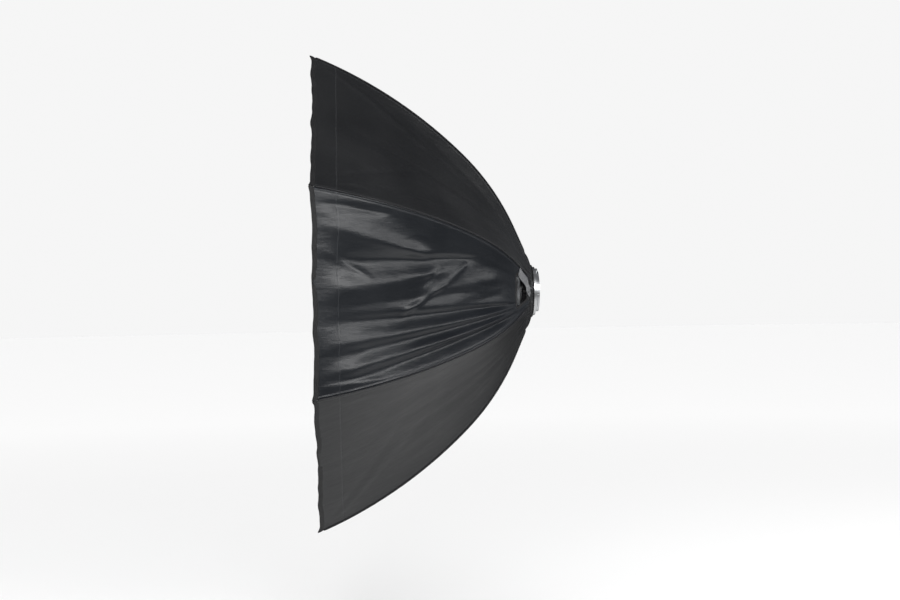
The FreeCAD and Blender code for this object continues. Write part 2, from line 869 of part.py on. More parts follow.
def diffuser():
    """The front cloth with its border, and the tapes that hold it in the lip."""
    gap = given("fit_gap")
    loop_near = cloth_in - gap - given("tape_thick")
    border_out = -rod_r - given("diffuser_gap")
    border_in = border_out - given("diffuser_thick")
    tape_strips("lip_loop_tape", cloth_in - gap, loop_near)
    tape_strips("diffuser_hook_tape", loop_near - given("tape_gap"), border_out + gap)
    half = given("tape_width") / 2
    ends = [ahead(tape_middle, tape_angle, along) for along in (-half, half)]
    octagon_band(
        "diffuser_border",
        [(end[0], end[1] + border_out / cosine(tape_angle)) for end in ends],
        [(end[0], end[1] + border_in / cosine(tape_angle)) for end in ends],
    )
    front_x = ends[1][0]
    corner_r = ends[1][1] + border_out / cosine(tape_angle)
    cloth = octagon_prism(
        "diffuser_cloth", [(front_x - given("diffuser_thick"), corner_r), (front_x, corner_r)]
    )
    keep(cloth)


def baffle():
    """The inner cloth, hung between the rods at their waist."""
    gap = given("fit_gap")
    thick = given("tab_thick")
    waist_x = rod_waist[0]
    corner_r = rod_waist[1] - given("baffle_gap")
    sheet_back_x = waist_x - thick / 2 - gap
    sheet_front_x = sheet_back_x - thick
    keep(octagon_prism("baffle_cloth", [(sheet_front_x, corner_r), (sheet_back_x, corner_r)]))
    hem_back_x = sheet_front_x - gap
    hem_r = corner_r - given("baffle_hem")
    octagon_band(
        "baffle_hem",
        [(hem_back_x - thick, corner_r), (hem_back_x, corner_r)],
        [(hem_back_x - thick, hem_r), (hem_back_x, hem_r)],
    )
    tongue_end = rod_waist[1] - given("clip_tongue")
    tabs = new_body("baffle_tabs", CORNER_TURN, many=True)
    sketch = outline(
        new_sketch(tabs),
        [
            (waist_x - thick / 2, corner_r - given("tab_overlap")),
            (waist_x + thick / 2, corner_r - given("tab_overlap")),
            (waist_x + thick / 2, tongue_end - gap),
            (waist_x - thick / 2, tongue_end - gap),
        ],
    )
    tab = pad(tabs, sketch, given("tab_width"), midplane=True)
    around(tabs, [tab], SIDES)
    keep(tabs)
    clips = new_body("baffle_clips", CORNER_TURN, many=True)
    grip_in = rod_r + gap
    grip_out = grip_in + given("clip_wall")
    half = given("clip_length") / 2
    grip_sketch = new_sketch(clips)
    axis_line(grip_sketch, rod_waist, ahead(rod_waist, waist_angle, size(AXIS_REACH)))
    profile = ((-half, grip_in), (half, grip_in), (half, grip_out), (-half, grip_out))
    outline(
        grip_sketch,
        [outward(ahead(rod_waist, waist_angle, a), waist_angle, b) for a, b in profile],
    )
    grip = revolve(clips, grip_sketch, (grip_sketch, ["Axis0"]))
    in_wall = rod_waist[1] - (grip_in + given("clip_wall") / 2) / cosine(waist_angle)
    rise = thick * tangent(waist_angle)
    tongue_sketch = outline(
        new_sketch(clips),
        [
            (waist_x - thick, tongue_end),
            (waist_x + thick, tongue_end),
            (waist_x + thick, in_wall - rise),
            (waist_x - thick, in_wall + rise),
        ],
    )
    tongue = pad(clips, tongue_sketch, given("tongue_width"), midplane=True)
    around(clips, [grip, tongue], SIDES)
    keep(clips)


def collar():
    """The cloth that wraps the back of the ring, and the elastic in its hem."""
    end_x = -given("collar_end")
    start_x = given("fit_gap") * 2 - given("panel_start")
    seat_r = ring_r - given("ring_chamfer") + given("collar_gap")
    end_r = seat_r - (end_x - ring_back_x)
    start_r = seat_r + (ring_back_x - start_x)
    thick = given("collar_thick")
    body = new_body("collar")
    turned_about_x(
        body,
        [(end_x, end_r), (end_x, end_r + thick), (start_x, start_r + thick), (start_x, start_r)],
    )
    keep(body)
    elastic = new_body("collar_elastic")
    elastic_r = given("elastic_dia") / 2
    sketch = new_sketch(elastic)
    circle_at(sketch, (end_x + elastic_r + given("fit_gap") * 2, end_r + thick), elastic_r)
    revolve(elastic, sketch, (origin_part(elastic, "X_Axis"), [""]))
    keep(elastic)


# ---- access openings and their straps ------------------------------------------------------------


def on_gore(turn, lift, along=0.0, sideways=0.0, swing=0.0):
    """A place on a gore's flat root: x runs out along the gore, y across it, z out of the cloth."""
    start = flattened(cloth_line(cloth_out)[0])
    lean = math.radians(lean_of(start, flattened(cloth_line(cloth_out)[1])))
    outwards = FreeCAD.Vector(math.sin(lean), 0, math.cos(lean))
    frontwards = FreeCAD.Vector(-math.cos(lean), 0, math.sin(lean))
    across = FreeCAD.Vector(0, -1, 0)
    base = FreeCAD.Vector(start[0].value, 0, start[1].value)
    base += outwards * lift + frontwards * along + across * sideways
    lying = FreeCAD.Rotation(frontwards, across, outwards, "ZXY")
    swung = lying * FreeCAD.Rotation(FreeCAD.Vector(0, 0, 1), swing)
    about_x = FreeCAD.Placement(
        FreeCAD.Vector(), FreeCAD.Rotation(FreeCAD.Vector(1, 0, 0), turn)
    )
    return about_x * FreeCAD.Placement(base, swung)


def lean_cosine():
    start = flattened(cloth_line(cloth_out)[0])
    return math.cos(math.radians(lean_of(start, flattened(cloth_line(cloth_out)[1]))))


def plate(name, corners, thick, place, hole=None):
    """A flat piece of cloth or tape."""
    body = new_body(name)
    body.Placement = place
    pad(body, outline(new_sketch(body, "XY_Plane"), corners), thick)
    if hole:
        inside = outline(new_sketch(body, "XY_Plane"), hole)
        through = thick * 2 * CUT_BEYOND
        cut = pad(body, inside, through, midplane=True, kind="PartDesign::Pocket")
        body.Tip = cut
    keep(body)


def along_gore(corners):
    """Corners given by X on a gore's root, measured along its cloth instead."""
    start_x = -given("panel_start")
    return [((start_x - x) / size(lean_cosine()), y) for x, y in corners]


def strap_set(side, turn):
    """An access opening's binding, and the strap over it with its hook and loop patches."""
    gap = given("fit_gap").value
    plate(
        f"opening_binding_{side}",
        along_gore(opening_corners(given("edge_tape") * lean_cosine())),
        given("edge_thick"),
        on_gore(turn, gap),
        hole=along_gore(opening_corners(size(0))),
    )
    sewn = (STRAP_SEWN[0], STRAP_SEWN[1])
    run = (STRAP_FREE[0] - sewn[0], STRAP_FREE[1] - sewn[1])
    length = size(round(math.hypot(*run), 3))
    swing = math.degrees(math.atan2(run[1], run[0]))
    half = given("strap_width") / 2
    thick = given("patch_thick")
    loop_lift = gap + given("edge_thick").value + gap
    hook_lift = loop_lift + thick.value + gap
    lift = hook_lift + thick.value + gap
    strap = [(0, -half), (length, -half), (length, half), (0, half)]
    plate(f"strap_{side}", strap, given("strap_thick"), on_gore(turn, lift, *sewn, swing))
    end = length - given("patch_length")
    patch = [(end, -half), (length, -half), (length, half), (end, half)]
    plate(f"strap_hook_{side}", patch, thick, on_gore(turn, hook_lift, *sewn, swing))
    plate(f"strap_loop_{side}", patch, thick, on_gore(turn, loop_lift, *sewn, swing))


# ---- the whole softbox ---------------------------------------------------------------------------

bayonet_core()
retaining_ring()
retaining_screws()
rod_ring()
lock_screw()
rods()
rod_ends()
gores()
seam_piping()
front_binding()
diffuser()
baffle()
collar()
strap_set("near", STEP_TURN * GORES.index("near"))
strap_set("far", STEP_TURN * GORES.index("far"))
doc.recompute()

faults = [item.Label for item in doc.Objects if {"Invalid", "Error"} & set(item.State)]
for label, item in made.items():
    if item.Shape.isNull() or not item.Shape.isValid():
        faults.append(label)
if faults:
    raise RuntimeError(f"these objects failed: {faults}")

os.makedirs("parts", exist_ok=True)
for label, item in made.items():
    item.Shape.exportStep(os.path.join("parts", f"{label}.step"))
    print(f"{label:24s} solids {len(item.Shape.Solids):2d}  volume {item.Shape.Volume:12.1f}")
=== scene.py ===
import math

import bmesh
import bpy
import numpy as np
from mathutils import Matrix, Vector
from mathutils.bvhtree import BVHTree


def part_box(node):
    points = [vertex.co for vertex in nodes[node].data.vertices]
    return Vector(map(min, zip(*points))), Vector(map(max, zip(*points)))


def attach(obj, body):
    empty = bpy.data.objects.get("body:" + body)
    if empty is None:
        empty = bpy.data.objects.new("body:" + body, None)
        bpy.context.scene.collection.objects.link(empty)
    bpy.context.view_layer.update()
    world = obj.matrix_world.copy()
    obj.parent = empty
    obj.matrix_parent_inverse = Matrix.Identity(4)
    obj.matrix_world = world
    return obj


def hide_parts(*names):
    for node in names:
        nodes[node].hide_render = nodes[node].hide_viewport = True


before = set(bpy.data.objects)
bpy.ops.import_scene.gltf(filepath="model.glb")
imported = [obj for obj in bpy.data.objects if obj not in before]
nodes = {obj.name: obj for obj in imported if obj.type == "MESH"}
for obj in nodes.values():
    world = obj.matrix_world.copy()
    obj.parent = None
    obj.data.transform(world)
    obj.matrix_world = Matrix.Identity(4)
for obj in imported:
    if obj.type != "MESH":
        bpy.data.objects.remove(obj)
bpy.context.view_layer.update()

# The softbox lies along X: its ring is at the back, near X = 0, and it opens towards -X.
# A place on a gore is given by two numbers: along, 0 at the ring and 1 at the front edge, and
# across, -1 at one seam and 1 at the other.

GORES = ("top", "upper_near", "near", "lower_near", "bottom", "lower_far", "far", "upper_far")
SIDES = len(GORES)
STEP = 2 * math.pi / SIDES
HALF = STEP / 2
CLOTH = 0.0009


# ---- the frame's shape ---------------------------------------------------------------------------


def tree_of(node):
    """A tree of a CAD node's faces, for rays."""
    mesh = nodes[node].data
    return BVHTree.FromPolygons(
        [v.co for v in mesh.vertices], [tuple(p.vertices) for p in mesh.polygons]
    )


class Profile:
    """The middle line of a gore's outer face, from the ring to the front edge.

    Rays fan out from a place inside the ring and meet the top gore from outside. The last
    stretch carries on straight to front_x, where the folded front edge ends.
    """

    def __init__(self, front_x, count=200):
        low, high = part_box("gore_top")
        tree = tree_of("gore_top")
        eye = Vector((low[0] + 0.02, 0.0003, 0))
        first = math.atan2(low[2], high[0] - eye.x) + 0.004
        points = []
        for lean in np.linspace(first, math.radians(92), count):
            ray = Vector((math.cos(lean), 0, math.sin(lean)))
            hit = tree.ray_cast(eye + ray * 2, -ray)[0]
            points.append((hit.x, hit.z))
        points = np.array(points)
        last = points[-1]
        lean = (last - points[-6]) / np.linalg.norm(last - points[-6])
        points = np.vstack([points, last + lean * (last[0] - front_x) / -lean[0]])
        steps = np.linalg.norm(np.diff(points, axis=0), axis=1)
        self.length = steps.sum()
        self.along = np.concatenate([[0], np.cumsum(steps)]) / self.length
        self.points = points

    def at(self, along):
        """X and distance from the axis."""
        x = np.interp(along, self.along, self.points[:, 0])
        out = np.interp(along, self.along, self.points[:, 1])
        return x, out

    def lean(self, along):
        """The direction towards the front, as its X and outward parts."""
        along = np.asarray(along, float)
        x0, r0 = self.at(np.clip(along - 0.012, 0, 1))
        x1, r1 = self.at(np.clip(along + 0.012, 0, 1))
        size = np.hypot(x1 - x0, r1 - r0)
        return (x1 - x0) / size, (r1 - r0) / size

    def along_at(self, x):
        return float(np.interp(-x, -self.points[:, 0], self.along))


profile = Profile(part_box("front_binding")[0][0] + 0.003)


def turned(turn, x, y, z):
    """Points turned about X. The top gore is turned by 0 and the near one by a quarter."""
    return np.stack(
        [x, y * math.cos(turn) - z * math.sin(turn), y * math.sin(turn) + z * math.cos(turn)],
        axis=-1,
    )


def eased(value, low, high):
    """0 below low, 1 above high, and a smooth step between."""
    t = np.clip((value - low) / (high - low), 0, 1)
    return t * t * (3 - 2 * t)


# ---- how the cloth hangs between the rods --------------------------------------------------------


def crease(u, v, start, end, widths, height, steep=0.0):
    """A soft ridge on a gore from one place to another, as along and across. Its width grows.

    Steep, from -1 to 1, narrows the side that lies towards across -1 or 1.
    """
    p, q = (np.array([a * profile.length, b * half_width(a)]) for a, b in (start, end))
    run = q - p
    size = np.linalg.norm(run)
    run = run / size
    far = ((u - p[0]) * run[0] + (v - p[1]) * run[1]) / size
    off = (u - p[0]) * -run[1] + (v - p[1]) * run[0]
    wide = widths[0] + (widths[1] - widths[0]) * np.clip(far, 0, 1)
    wide = wide * np.where(off * steep > 0, 1 - 0.72 * abs(steep), 1)
    fade = eased(far, -0.06, 0.2) * (1 - eased(far, 0.75, 1.08))
    return height * fade * np.exp(-(np.abs(off / wide) ** 1.7))


def half_width(along):
    """Half the distance between a gore's two seams."""
    return profile.at(along)[1] * math.tan(HALF)


def fan_creases(u, v, seed, count, strength):
    """Creases that fan out from the ring, and more that run in from the two front corners."""
    rng = np.random.default_rng(seed)
    total = np.zeros_like(u)
    for i in range(count):
        aim = -0.92 + 1.84 * (i + rng.uniform(0.1, 0.9)) / count
        start = (rng.uniform(0.03, 0.22), aim * rng.uniform(0.4, 0.9))
        end = (rng.uniform(0.7, 1.0), aim + rng.uniform(-0.06, 0.06))
        height = rng.choice([-1, 1]) * rng.uniform(0.4, 1.0) * strength
        total += crease(u, v, start, end, (0.007, rng.uniform(0.014, 0.034)), height)
    for side in (-1, 1):
        for _ in range(4):
            start = (rng.uniform(0.94, 0.99), side * rng.uniform(0.88, 0.97))
            end = (rng.uniform(0.3, 0.75), side * rng.uniform(-0.4, 0.7))
            height = rng.choice([-1, 1]) * rng.uniform(0.3, 0.8) * strength
            total += crease(u, v, start, end, (0.006, rng.uniform(0.012, 0.026)), height)
    return total


# The near gore's creases: both ends, the widths at them, the height and the steeper side.
NEAR_CREASES = (
    ((0.55, 0.46), (1.00, 0.66), (0.012, 0.046), 0.0070, -0.6),
    ((0.36, 0.62), (1.00, 0.30), (0.010, 0.056), -0.0085, 0.9),
    ((0.50, 0.30), (1.00, 0.00), (0.012, 0.040), 0.0058, -0.3),
    ((0.34, 0.02), (1.00, -0.16), (0.010, 0.030), -0.0036, 0.4),
    ((0.14, -0.42), (1.00, -0.30), (0.008, 0.044), -0.0078, 0.9),
    ((0.16, -0.56), (1.00, -0.52), (0.008, 0.030), 0.0054, -0.5),
    ((0.14, -0.60), (1.00, -0.63), (0.007, 0.032), -0.0062, 0.7),
    ((0.16, -0.70), (1.00, -0.80), (0.007, 0.026), 0.0056, -0.7),
    ((0.12, -0.78), (0.90, -0.88), (0.007, 0.020), -0.0058, 0.6),
    ((0.40, 0.52), (0.49, 0.14), (0.006, 0.008), 0.0028, 0.5),
    ((0.48, 0.16), (0.70, -0.30), (0.006, 0.011), 0.0036, -0.5),
    ((0.52, 0.36), (0.60, 0.06), (0.006, 0.008), -0.0024, 0.0),
    ((0.24, 0.30), (0.44, 0.10), (0.010, 0.020), 0.0026, 0.0),
    ((0.20, -0.05), (0.46, -0.22), (0.010, 0.022), -0.0026, 0.0),
    ((0.72, 0.90), (1.00, 0.86), (0.006, 0.014), -0.0030, 0.6),
    ((0.80, 0.16), (1.00, 0.44), (0.006, 0.013), 0.0022, 0.0),
    ((0.76, -0.94), (1.00, -0.90), (0.006, 0.013), 0.0026, 0.5),
)
DRAW_IN = 0.017


def cloth_height(along, across, index):
    """How far the cloth stands out of the flat between its two rods. Drawn in is negative."""
    u = along * profile.length
    v = across * half_width(along)
    free = 1 - np.abs(across) ** 2.6
    draw = -DRAW_IN * eased(along, 0.0, 0.45) * (1 - eased(along, 0.6, 0.97)) * free
    if GORES[index] in ("near", "far"):
        folds = sum(crease(u, v, *one) for one in NEAR_CREASES)
        folds = folds + fan_creases(u, v, 40 + index, 9, 0.0008)
    else:
        strength = 0.0012 if GORES[index].startswith("lower") else 0.0022
        folds = fan_creases(u, v, 20 + index, 6, strength)
    at_seams = eased(1 - np.abs(across), 0.0, 0.12)
    at_ends = eased(along, 0.0, 0.1) * (1 - 0.55 * eased(along, 0.9, 1.0))
    return draw + folds * at_seams * at_ends


def edge_wave(across, index):
    """How far the front edge wanders towards the front between its two corners."""
    rng = np.random.default_rng(101 + index)
    wave = np.zeros_like(across)
    for count in (2, 3, 5, 8):
        wave += rng.uniform(0.4, 1.0) / count**0.6 * np.sin(count * 3 * across + rng.uniform(0, 6))
    ears = 0.004 * np.exp(-(((1 - np.abs(across)) / 0.035) ** 2))
    return 0.0030 * wave * np.sqrt(np.clip(1 - across**2, 0, 1)) - 0.002 * (1 - across**2) + ears


def root_gather(across, index):
    """The small pleats where the gore is gathered round the ring."""
    rng = np.random.default_rng(301 + index)
    phase = rng.uniform(0, 6, 3)
    return 0.0011 * (
        np.sin(9 * across + phase[0]) + 0.7 * np.sin(17 * across + phase[1])
        + 0.5 * np.sin(29 * across + phase[2])
    )


# Where along a gore the ring's roundness and pleats fade out and the front edge's wave sets in.
ROUND_END = 0.14
PLEATS = (0.02, 0.13)
WAVE = (0.88, 1.0)
ROUNDNESS = 0.55


def on_cloth(along, across, index, lift=0.0):
    """Points on a gore's outer face, or lifted off it."""
    along, across = np.broadcast_arrays(np.asarray(along, float), np.asarray(across, float))
    x, out = profile.at(along)
    lean_x, lean_out = profile.lean(along)
    side = (out - lift * lean_x) * math.tan(HALF) * across
    ends = 1 - np.abs(across) ** 6
    height = cloth_height(along, across, index) + lift
    height = height + root_gather(across, index) * (1 - eased(along, *PLEATS)) * ends
    round_share = ROUNDNESS * (1 - eased(along, 0.0, ROUND_END))
    wave = edge_wave(across, index) * eased(along, *WAVE)
    x = x + height * lean_out + wave * lean_x
    out = out - height * lean_x + wave * lean_out
    out = out + out * (np.cos(across * HALF) / math.cos(HALF) - 1) * round_share
    return turned(STEP * index, x, side, out)


def from_edge(back, across, index, lift=0.0):
    """Points a distance behind a gore's front edge, in metres, or beyond it if negative."""
    back = np.asarray(back, float)
    spots = on_cloth(1 - np.maximum(back, 0) / profile.length, across, index, lift)
    lean_x, lean_out = profile.lean(1.0)
    ahead = turned(STEP * index, float(lean_x), 0.0, float(lean_out))
    return spots + np.maximum(-back, 0)[:, None] * ahead


# ---- making pieces -------------------------------------------------------------------------------


def grid(rows, columns):
    """A flat grid whose corners are at 0 and 1 in X and Y."""
    bm = bmesh.new()
    bmesh.ops.create_grid(bm, x_segments=rows, y_segments=columns, size=0.5)
    bmesh.ops.translate(bm, vec=(0.5, 0.5, 0), verts=bm.verts)
    return bm


def shares_of(bm):
    """Each vertex's two shares on a flat grid."""
    return np.array([v.co[:2] for v in bm.verts])


def nearest(share, count):
    """The number of the column or row that each share lies on."""
    return np.rint(share * count).astype(int)


def put(bm, points):
    for vert, point in zip(bm.verts, points):
        vert.co = point


def close_up(bm):
    """Merges the edges that meet and turns the faces outwards."""
    bmesh.ops.remove_doubles(bm, verts=bm.verts, dist=1e-6)
    bmesh.ops.recalc_face_normals(bm, faces=bm.faces)
    return bm


def join(parts):
    """One bmesh from several."""
    whole = bmesh.new()
    for part in parts:
        mesh = bpy.data.meshes.new("part")
        part.to_mesh(mesh)
        part.free()
        whole.from_mesh(mesh)
        bpy.data.meshes.remove(mesh)
    return whole


def piece(name, bm, materials, body="softbox", away_from=None, maps=()):
    """Makes a Blender object from a bmesh. Its faces look away from a point if one is given."""
    mesh = bpy.data.meshes.new(name)
    bm.to_mesh(mesh)
    bm.free()
    if away_from is not None:
        middle = Vector(away_from)
        if sum((p.center - middle).dot(p.normal) * p.area for p in mesh.polygons) < 0:
            mesh.flip_normals()
    corners = np.empty(len(mesh.loops), int)
    mesh.loops.foreach_get("vertex_index", corners)
    for map_name, values in maps:
        layer = mesh.uv_layers.new(name=map_name)
        layer.data.foreach_set("uv", values[corners].ravel())
    made = bpy.data.objects.new(name, mesh)
    bpy.context.collection.objects.link(made)
    for material in materials:
        mesh.materials.append(material)
    mesh.polygons.foreach_set("use_smooth", [True] * len(mesh.polygons))
    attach(made, body)
    return made


def thicken(made, thick, inner=0, offset=-1.0):
    """Gives a sheet its thickness on the side that its faces look away from."""
    wall = made.modifiers.new("thickness", "SOLIDIFY")
    wall.thickness = thick
    wall.offset = offset
    wall.material_offset = inner
    return made


def stands_for(made, node):
    """Hides the CAD node that a piece takes the place of."""
    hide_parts(node)


def face_x(made, side):
    """Turns a flat piece's faces towards X if side is 1, or towards -X if it is -1."""
    if side * sum(p.normal.x * p.area for p in made.data.polygons) < 0:
        made.data.flip_normals()


def tube(points, radius, sides=10):
    """A round bar along points, with rounded ends."""
    points = np.asarray(points, float)
    lean = np.gradient(points, axis=0)
    lean /= np.linalg.norm(lean, axis=1)[:, None]
    away = points * np.array([0, 1, 1])
    away /= np.maximum(np.linalg.norm(away, axis=1), 1e-9)[:, None]
    over = away - (away * lean).sum(1)[:, None] * lean
    over /= np.linalg.norm(over, axis=1)[:, None]
    beside = np.cross(lean, over)
    bm = grid(len(points) - 1, sides)
    shares = shares_of(bm)
    at = nearest(shares[:, 0], len(points) - 1)
    turn = shares[:, 1] * 2 * math.pi
    wide = np.full(len(points), radius)
    wide[0] = wide[-1] = radius * 0.05
    wide[1] = wide[-2] = radius * 0.8
    spots = points[at] + wide[at, None] * (
        np.sin(turn)[:, None] * over[at] + np.cos(turn)[:, None] * beside[at]
    )
    put(bm, spots)
    bmesh.ops.remove_doubles(bm, verts=bm.verts, dist=1e-7)
    bmesh.ops.holes_fill(bm, edges=bm.edges, sides=sides + 1)
    bmesh.ops.recalc_face_normals(bm, faces=bm.faces)
    return bm


def vertices_of(node, corner=None):
    """A CAD node's vertices, or those of the one solid of a group that lies at a corner."""
    spots = np.array([v.co[:] for v in nodes[node].data.vertices])
    if corner is None:
        return spots
    turn = np.arctan2(-spots[:, 1], spots[:, 2])
    off = (turn - HALF - STEP * corner + math.pi) % (2 * math.pi) - math.pi
    return spots[np.abs(off) < HALF * 0.9]


def long_axis(spots):
    """The middle of a slim solid, its direction towards the front, its length and its radius."""
    middle = (spots.min(axis=0) + spots.max(axis=0)) / 2
    axis = np.linalg.svd(spots - spots.mean(axis=0), full_matrices=False)[2][0]
    if axis[0] > 0:
        axis = -axis
    run = (spots - middle) @ axis
    middle = middle + axis * (run.min() + run.max()) / 2
    off = np.linalg.norm((spots - middle) - ((spots - middle) @ axis)[:, None] * axis, axis=1)
    return middle, axis, run.max() - run.min(), off.max()


class Plate:
    """Where a flat CAD plate lies: from its outer end, along, across and up out of the cloth."""

    def __init__(self, node):
        spots = np.unique(np.round(vertices_of(node), 7), axis=0)
        middle = spots.mean(axis=0)
        axes = np.linalg.svd(spots - middle, full_matrices=False)[2]
        along, across, up = axes
        if np.dot(along * [0, 1, 1], middle) > 0:
            along = -along
        if np.dot(up * [0, 1, 1], middle) < 0:
            up = -up
        across = np.cross(up, along)
        sizes = [np.ptp((spots - middle) @ axis) for axis in (along, across, up)]
        self.length, self.width, self.thick = sizes
        self.start = middle - along * self.length / 2 - up * self.thick / 2
        self.along, self.across, self.up = along, across, up

    def at(self, along, across, up):
        along, across, up = np.broadcast_arrays(along, across, up)
        return (
            self.start + along[:, None] * self.along + across[:, None] * self.across
            + up[:, None] * self.up
        )


# ---- shader groups -------------------------------------------------------------------------------


class Nodes:
    """Short calls that add nodes to a tree and join their sockets."""

    def __init__(self, tree):
        self.tree = tree

    def add(self, kind, **settings):
        node = self.tree.nodes.new(kind)
        for key, value in settings.items():
            setattr(node, key, value)
        return node

    def feed(self, socket, value):
        if isinstance(value, bpy.types.NodeSocket):
            self.tree.links.new(value, socket)
        else:
            socket.default_value = value

    def math(self, operation, *values, clamp=False):
        node = self.add("ShaderNodeMath", operation=operation, use_clamp=clamp)
        for socket, value in zip(node.inputs, values):
            self.feed(socket, value)
        return node.outputs[0]

    def noise(self, vector, scale, detail=3.0, roughness=0.55, stretch=None):
        if stretch:
            mapping = self.add("ShaderNodeMapping")
            self.feed(mapping.inputs["Vector"], vector)
            mapping.inputs["Scale"].default_value = stretch
            vector = mapping.outputs["Vector"]
        node = self.add("ShaderNodeTexNoise")
        self.feed(node.inputs["Vector"], vector)
        self.feed(node.inputs["Scale"], scale)
        self.feed(node.inputs["Detail"], detail)
        self.feed(node.inputs["Roughness"], roughness)
        return node.outputs["Fac"]

    def ramp(self, value, low, high, to_low=0.0, to_high=1.0):
        node = self.add("ShaderNodeMapRange")
        for key, number in zip(
            ("Value", "From Min", "From Max", "To Min", "To Max"),
            (value, low, high, to_low, to_high),
        ):
            self.feed(node.inputs[key], number)
        return node.outputs[0]

    def mix(self, share, a, b):
        node = self.add("ShaderNodeMix", data_type="RGBA")
        self.feed(node.inputs[0], share)
        self.feed(node.inputs[6], a if isinstance(a, bpy.types.NodeSocket) else (*a, 1))
        self.feed(node.inputs[7], b if isinstance(b, bpy.types.NodeSocket) else (*b, 1))
        return node.outputs[2]

    def bump(self, height, strength, distance, normal=None):
        node = self.add("ShaderNodeBump")
        self.feed(node.inputs["Height"], height)
        node.inputs["Strength"].default_value = strength
        node.inputs["Distance"].default_value = distance
        if normal is not None:
            self.feed(node.inputs["Normal"], normal)
        return node.outputs["Normal"]

    def group(self, made, **values):
        node = self.add("ShaderNodeGroup")
        node.node_tree = made
        for key, value in values.items():
            self.feed(node.inputs[key.replace("_", " ")], value)
        return node.outputs


def shader_group(name, inputs, outputs):
    """An empty group with named sockets. Returns it, its Nodes, its input and output sockets."""
    made = bpy.data.node_groups.new(name, "ShaderNodeTree")
    for key, kind, value in inputs:
        socket = made.interface.new_socket(key, in_out="INPUT", socket_type=kind)
        if value is not None:
            socket.default_value = value
    for key, kind in outputs:
        made.interface.new_socket(key, in_out="OUTPUT", socket_type=kind)
    into = made.nodes.new("NodeGroupInput")
    out = made.nodes.new("NodeGroupOutput")
    return made, Nodes(made), into.outputs, out.inputs


FLOAT = "NodeSocketFloat"
VECTOR = "NodeSocketVector"


def weave_group():
    """Threads that cross over and under. Pitch is the distance between two threads."""
    made, n, given, out = shader_group(
        "weave",
        (("Vector", VECTOR, None), ("Pitch", FLOAT, 0.0005), ("Rib", FLOAT, 1.0)),
        (("Height", FLOAT), ("Thread", FLOAT)),
    )
    parts = n.add("ShaderNodeSeparateXYZ")
    n.feed(parts.inputs[0], given["Vector"])
    turn = n.math("DIVIDE", math.pi, given["Pitch"])
    across = n.math("MULTIPLY", parts.outputs[0], turn)
    along = n.math("MULTIPLY", n.math("MULTIPLY", parts.outputs[1], turn), given["Rib"])
    warp = n.math("ABSOLUTE", n.math("SINE", across))
    weft = n.math("ABSOLUTE", n.math("SINE", along))
    over = n.math("MULTIPLY", n.math("COSINE", across), n.math("COSINE", along))
    over = n.math("ADD", n.math("MULTIPLY", over, 0.5), 0.5)
    one = n.math("MULTIPLY", warp, over)
    two = n.math("MULTIPLY", weft, n.math("SUBTRACT", 1.0, over))
    height = n.math("MAXIMUM", one, two)
    n.feed(out["Height"], height)
    n.feed(out["Thread"], n.noise(given["Vector"], 900.0, 2.0))
    return made


def stitch_group():
    """A row of stitches that runs beside an edge, at Line from it."""
    made, n, given, out = shader_group(
        "stitches",
        (
            ("Distance", FLOAT, 0.0), ("Run", FLOAT, 0.0), ("Line", FLOAT, 0.006),
            ("Pitch", FLOAT, 0.0035), ("Width", FLOAT, 0.0006),
        ),
        (("Mask", FLOAT), ("Groove", FLOAT)),
    )
    off = n.math("ABSOLUTE", n.math("SUBTRACT", given["Distance"], given["Line"]))
    near = n.math("SUBTRACT", 1.0, n.math("DIVIDE", off, given["Width"]), clamp=True)
    near = n.math("SMOOTH_MIN", n.math("MULTIPLY", near, 2.0), 1.0, 0.2)
    beat = n.math("FRACT", n.math("DIVIDE", given["Run"], given["Pitch"]))
    thread = n.math("LESS_THAN", n.math("ABSOLUTE", n.math("SUBTRACT", beat, 0.5)), 0.36)
    n.feed(out["Mask"], n.math("MULTIPLY", near, thread))
    wide = n.math("MULTIPLY", given["Width"], 5.0)
    n.feed(out["Groove"], n.math("SUBTRACT", 1.0, n.math("DIVIDE", off, wide), clamp=True))
    return made


def dust_group():
    """Fine pale lint, which lies thicker in some places than in others."""
    made, n, given, out = shader_group(
        "dust", (("Vector", VECTOR, None), ("Amount", FLOAT, 0.3)), (("Mask", FLOAT),)
    )
    fine = n.ramp(n.noise(given["Vector"], 700.0, 2.0, 0.6), 0.66, 0.78)
    cloud = n.ramp(n.noise(given["Vector"], 7.0, 3.0), 0.42, 0.7)
    n.feed(out["Mask"], n.math("MULTIPLY", n.math("MULTIPLY", fine, cloud), given["Amount"]))
    return made


def crinkle_group():
    """Small crinkles that run along the first direction of the cloth."""
    made, n, given, out = shader_group(
        "crinkle", (("Vector", VECTOR, None),), (("Height", FLOAT), ("Patch", FLOAT))
    )
    long = n.noise(given["Vector"], 14.0, 4.0, 0.5, stretch=(0.35, 1.6, 1.0))
    short = n.noise(given["Vector"], 60.0, 3.0, 0.5, stretch=(0.8, 1.2, 1.0))
    height = n.math("ADD", n.math("MULTIPLY", long, 1.0), n.math("MULTIPLY", short, 0.18))
    n.feed(out["Height"], height)
    n.feed(out["Patch"], n.noise(given["Vector"], 5.0, 2.0))
    return made


def metal_group():
    """Fine lathe lines and the marks of use on a metal part."""
    made, n, given, out = shader_group(
        "metal_marks",
        (("Vector", VECTOR, None), ("Scale", FLOAT, 1.0)),
        (("Height", FLOAT), ("Smear", FLOAT), ("Scratch", FLOAT)),
    )
    lines = n.noise(given["Vector"], 400.0, 2.0, 0.5, stretch=(6.0, 0.4, 0.4))
    n.feed(out["Height"], n.math("MULTIPLY", lines, given["Scale"]))
    n.feed(out["Smear"], n.noise(given["Vector"], 22.0, 4.0, 0.6))
    n.feed(out["Scratch"], n.ramp(n.noise(given["Vector"], 160.0, 5.0, 0.75), 0.62, 0.7))
    return made


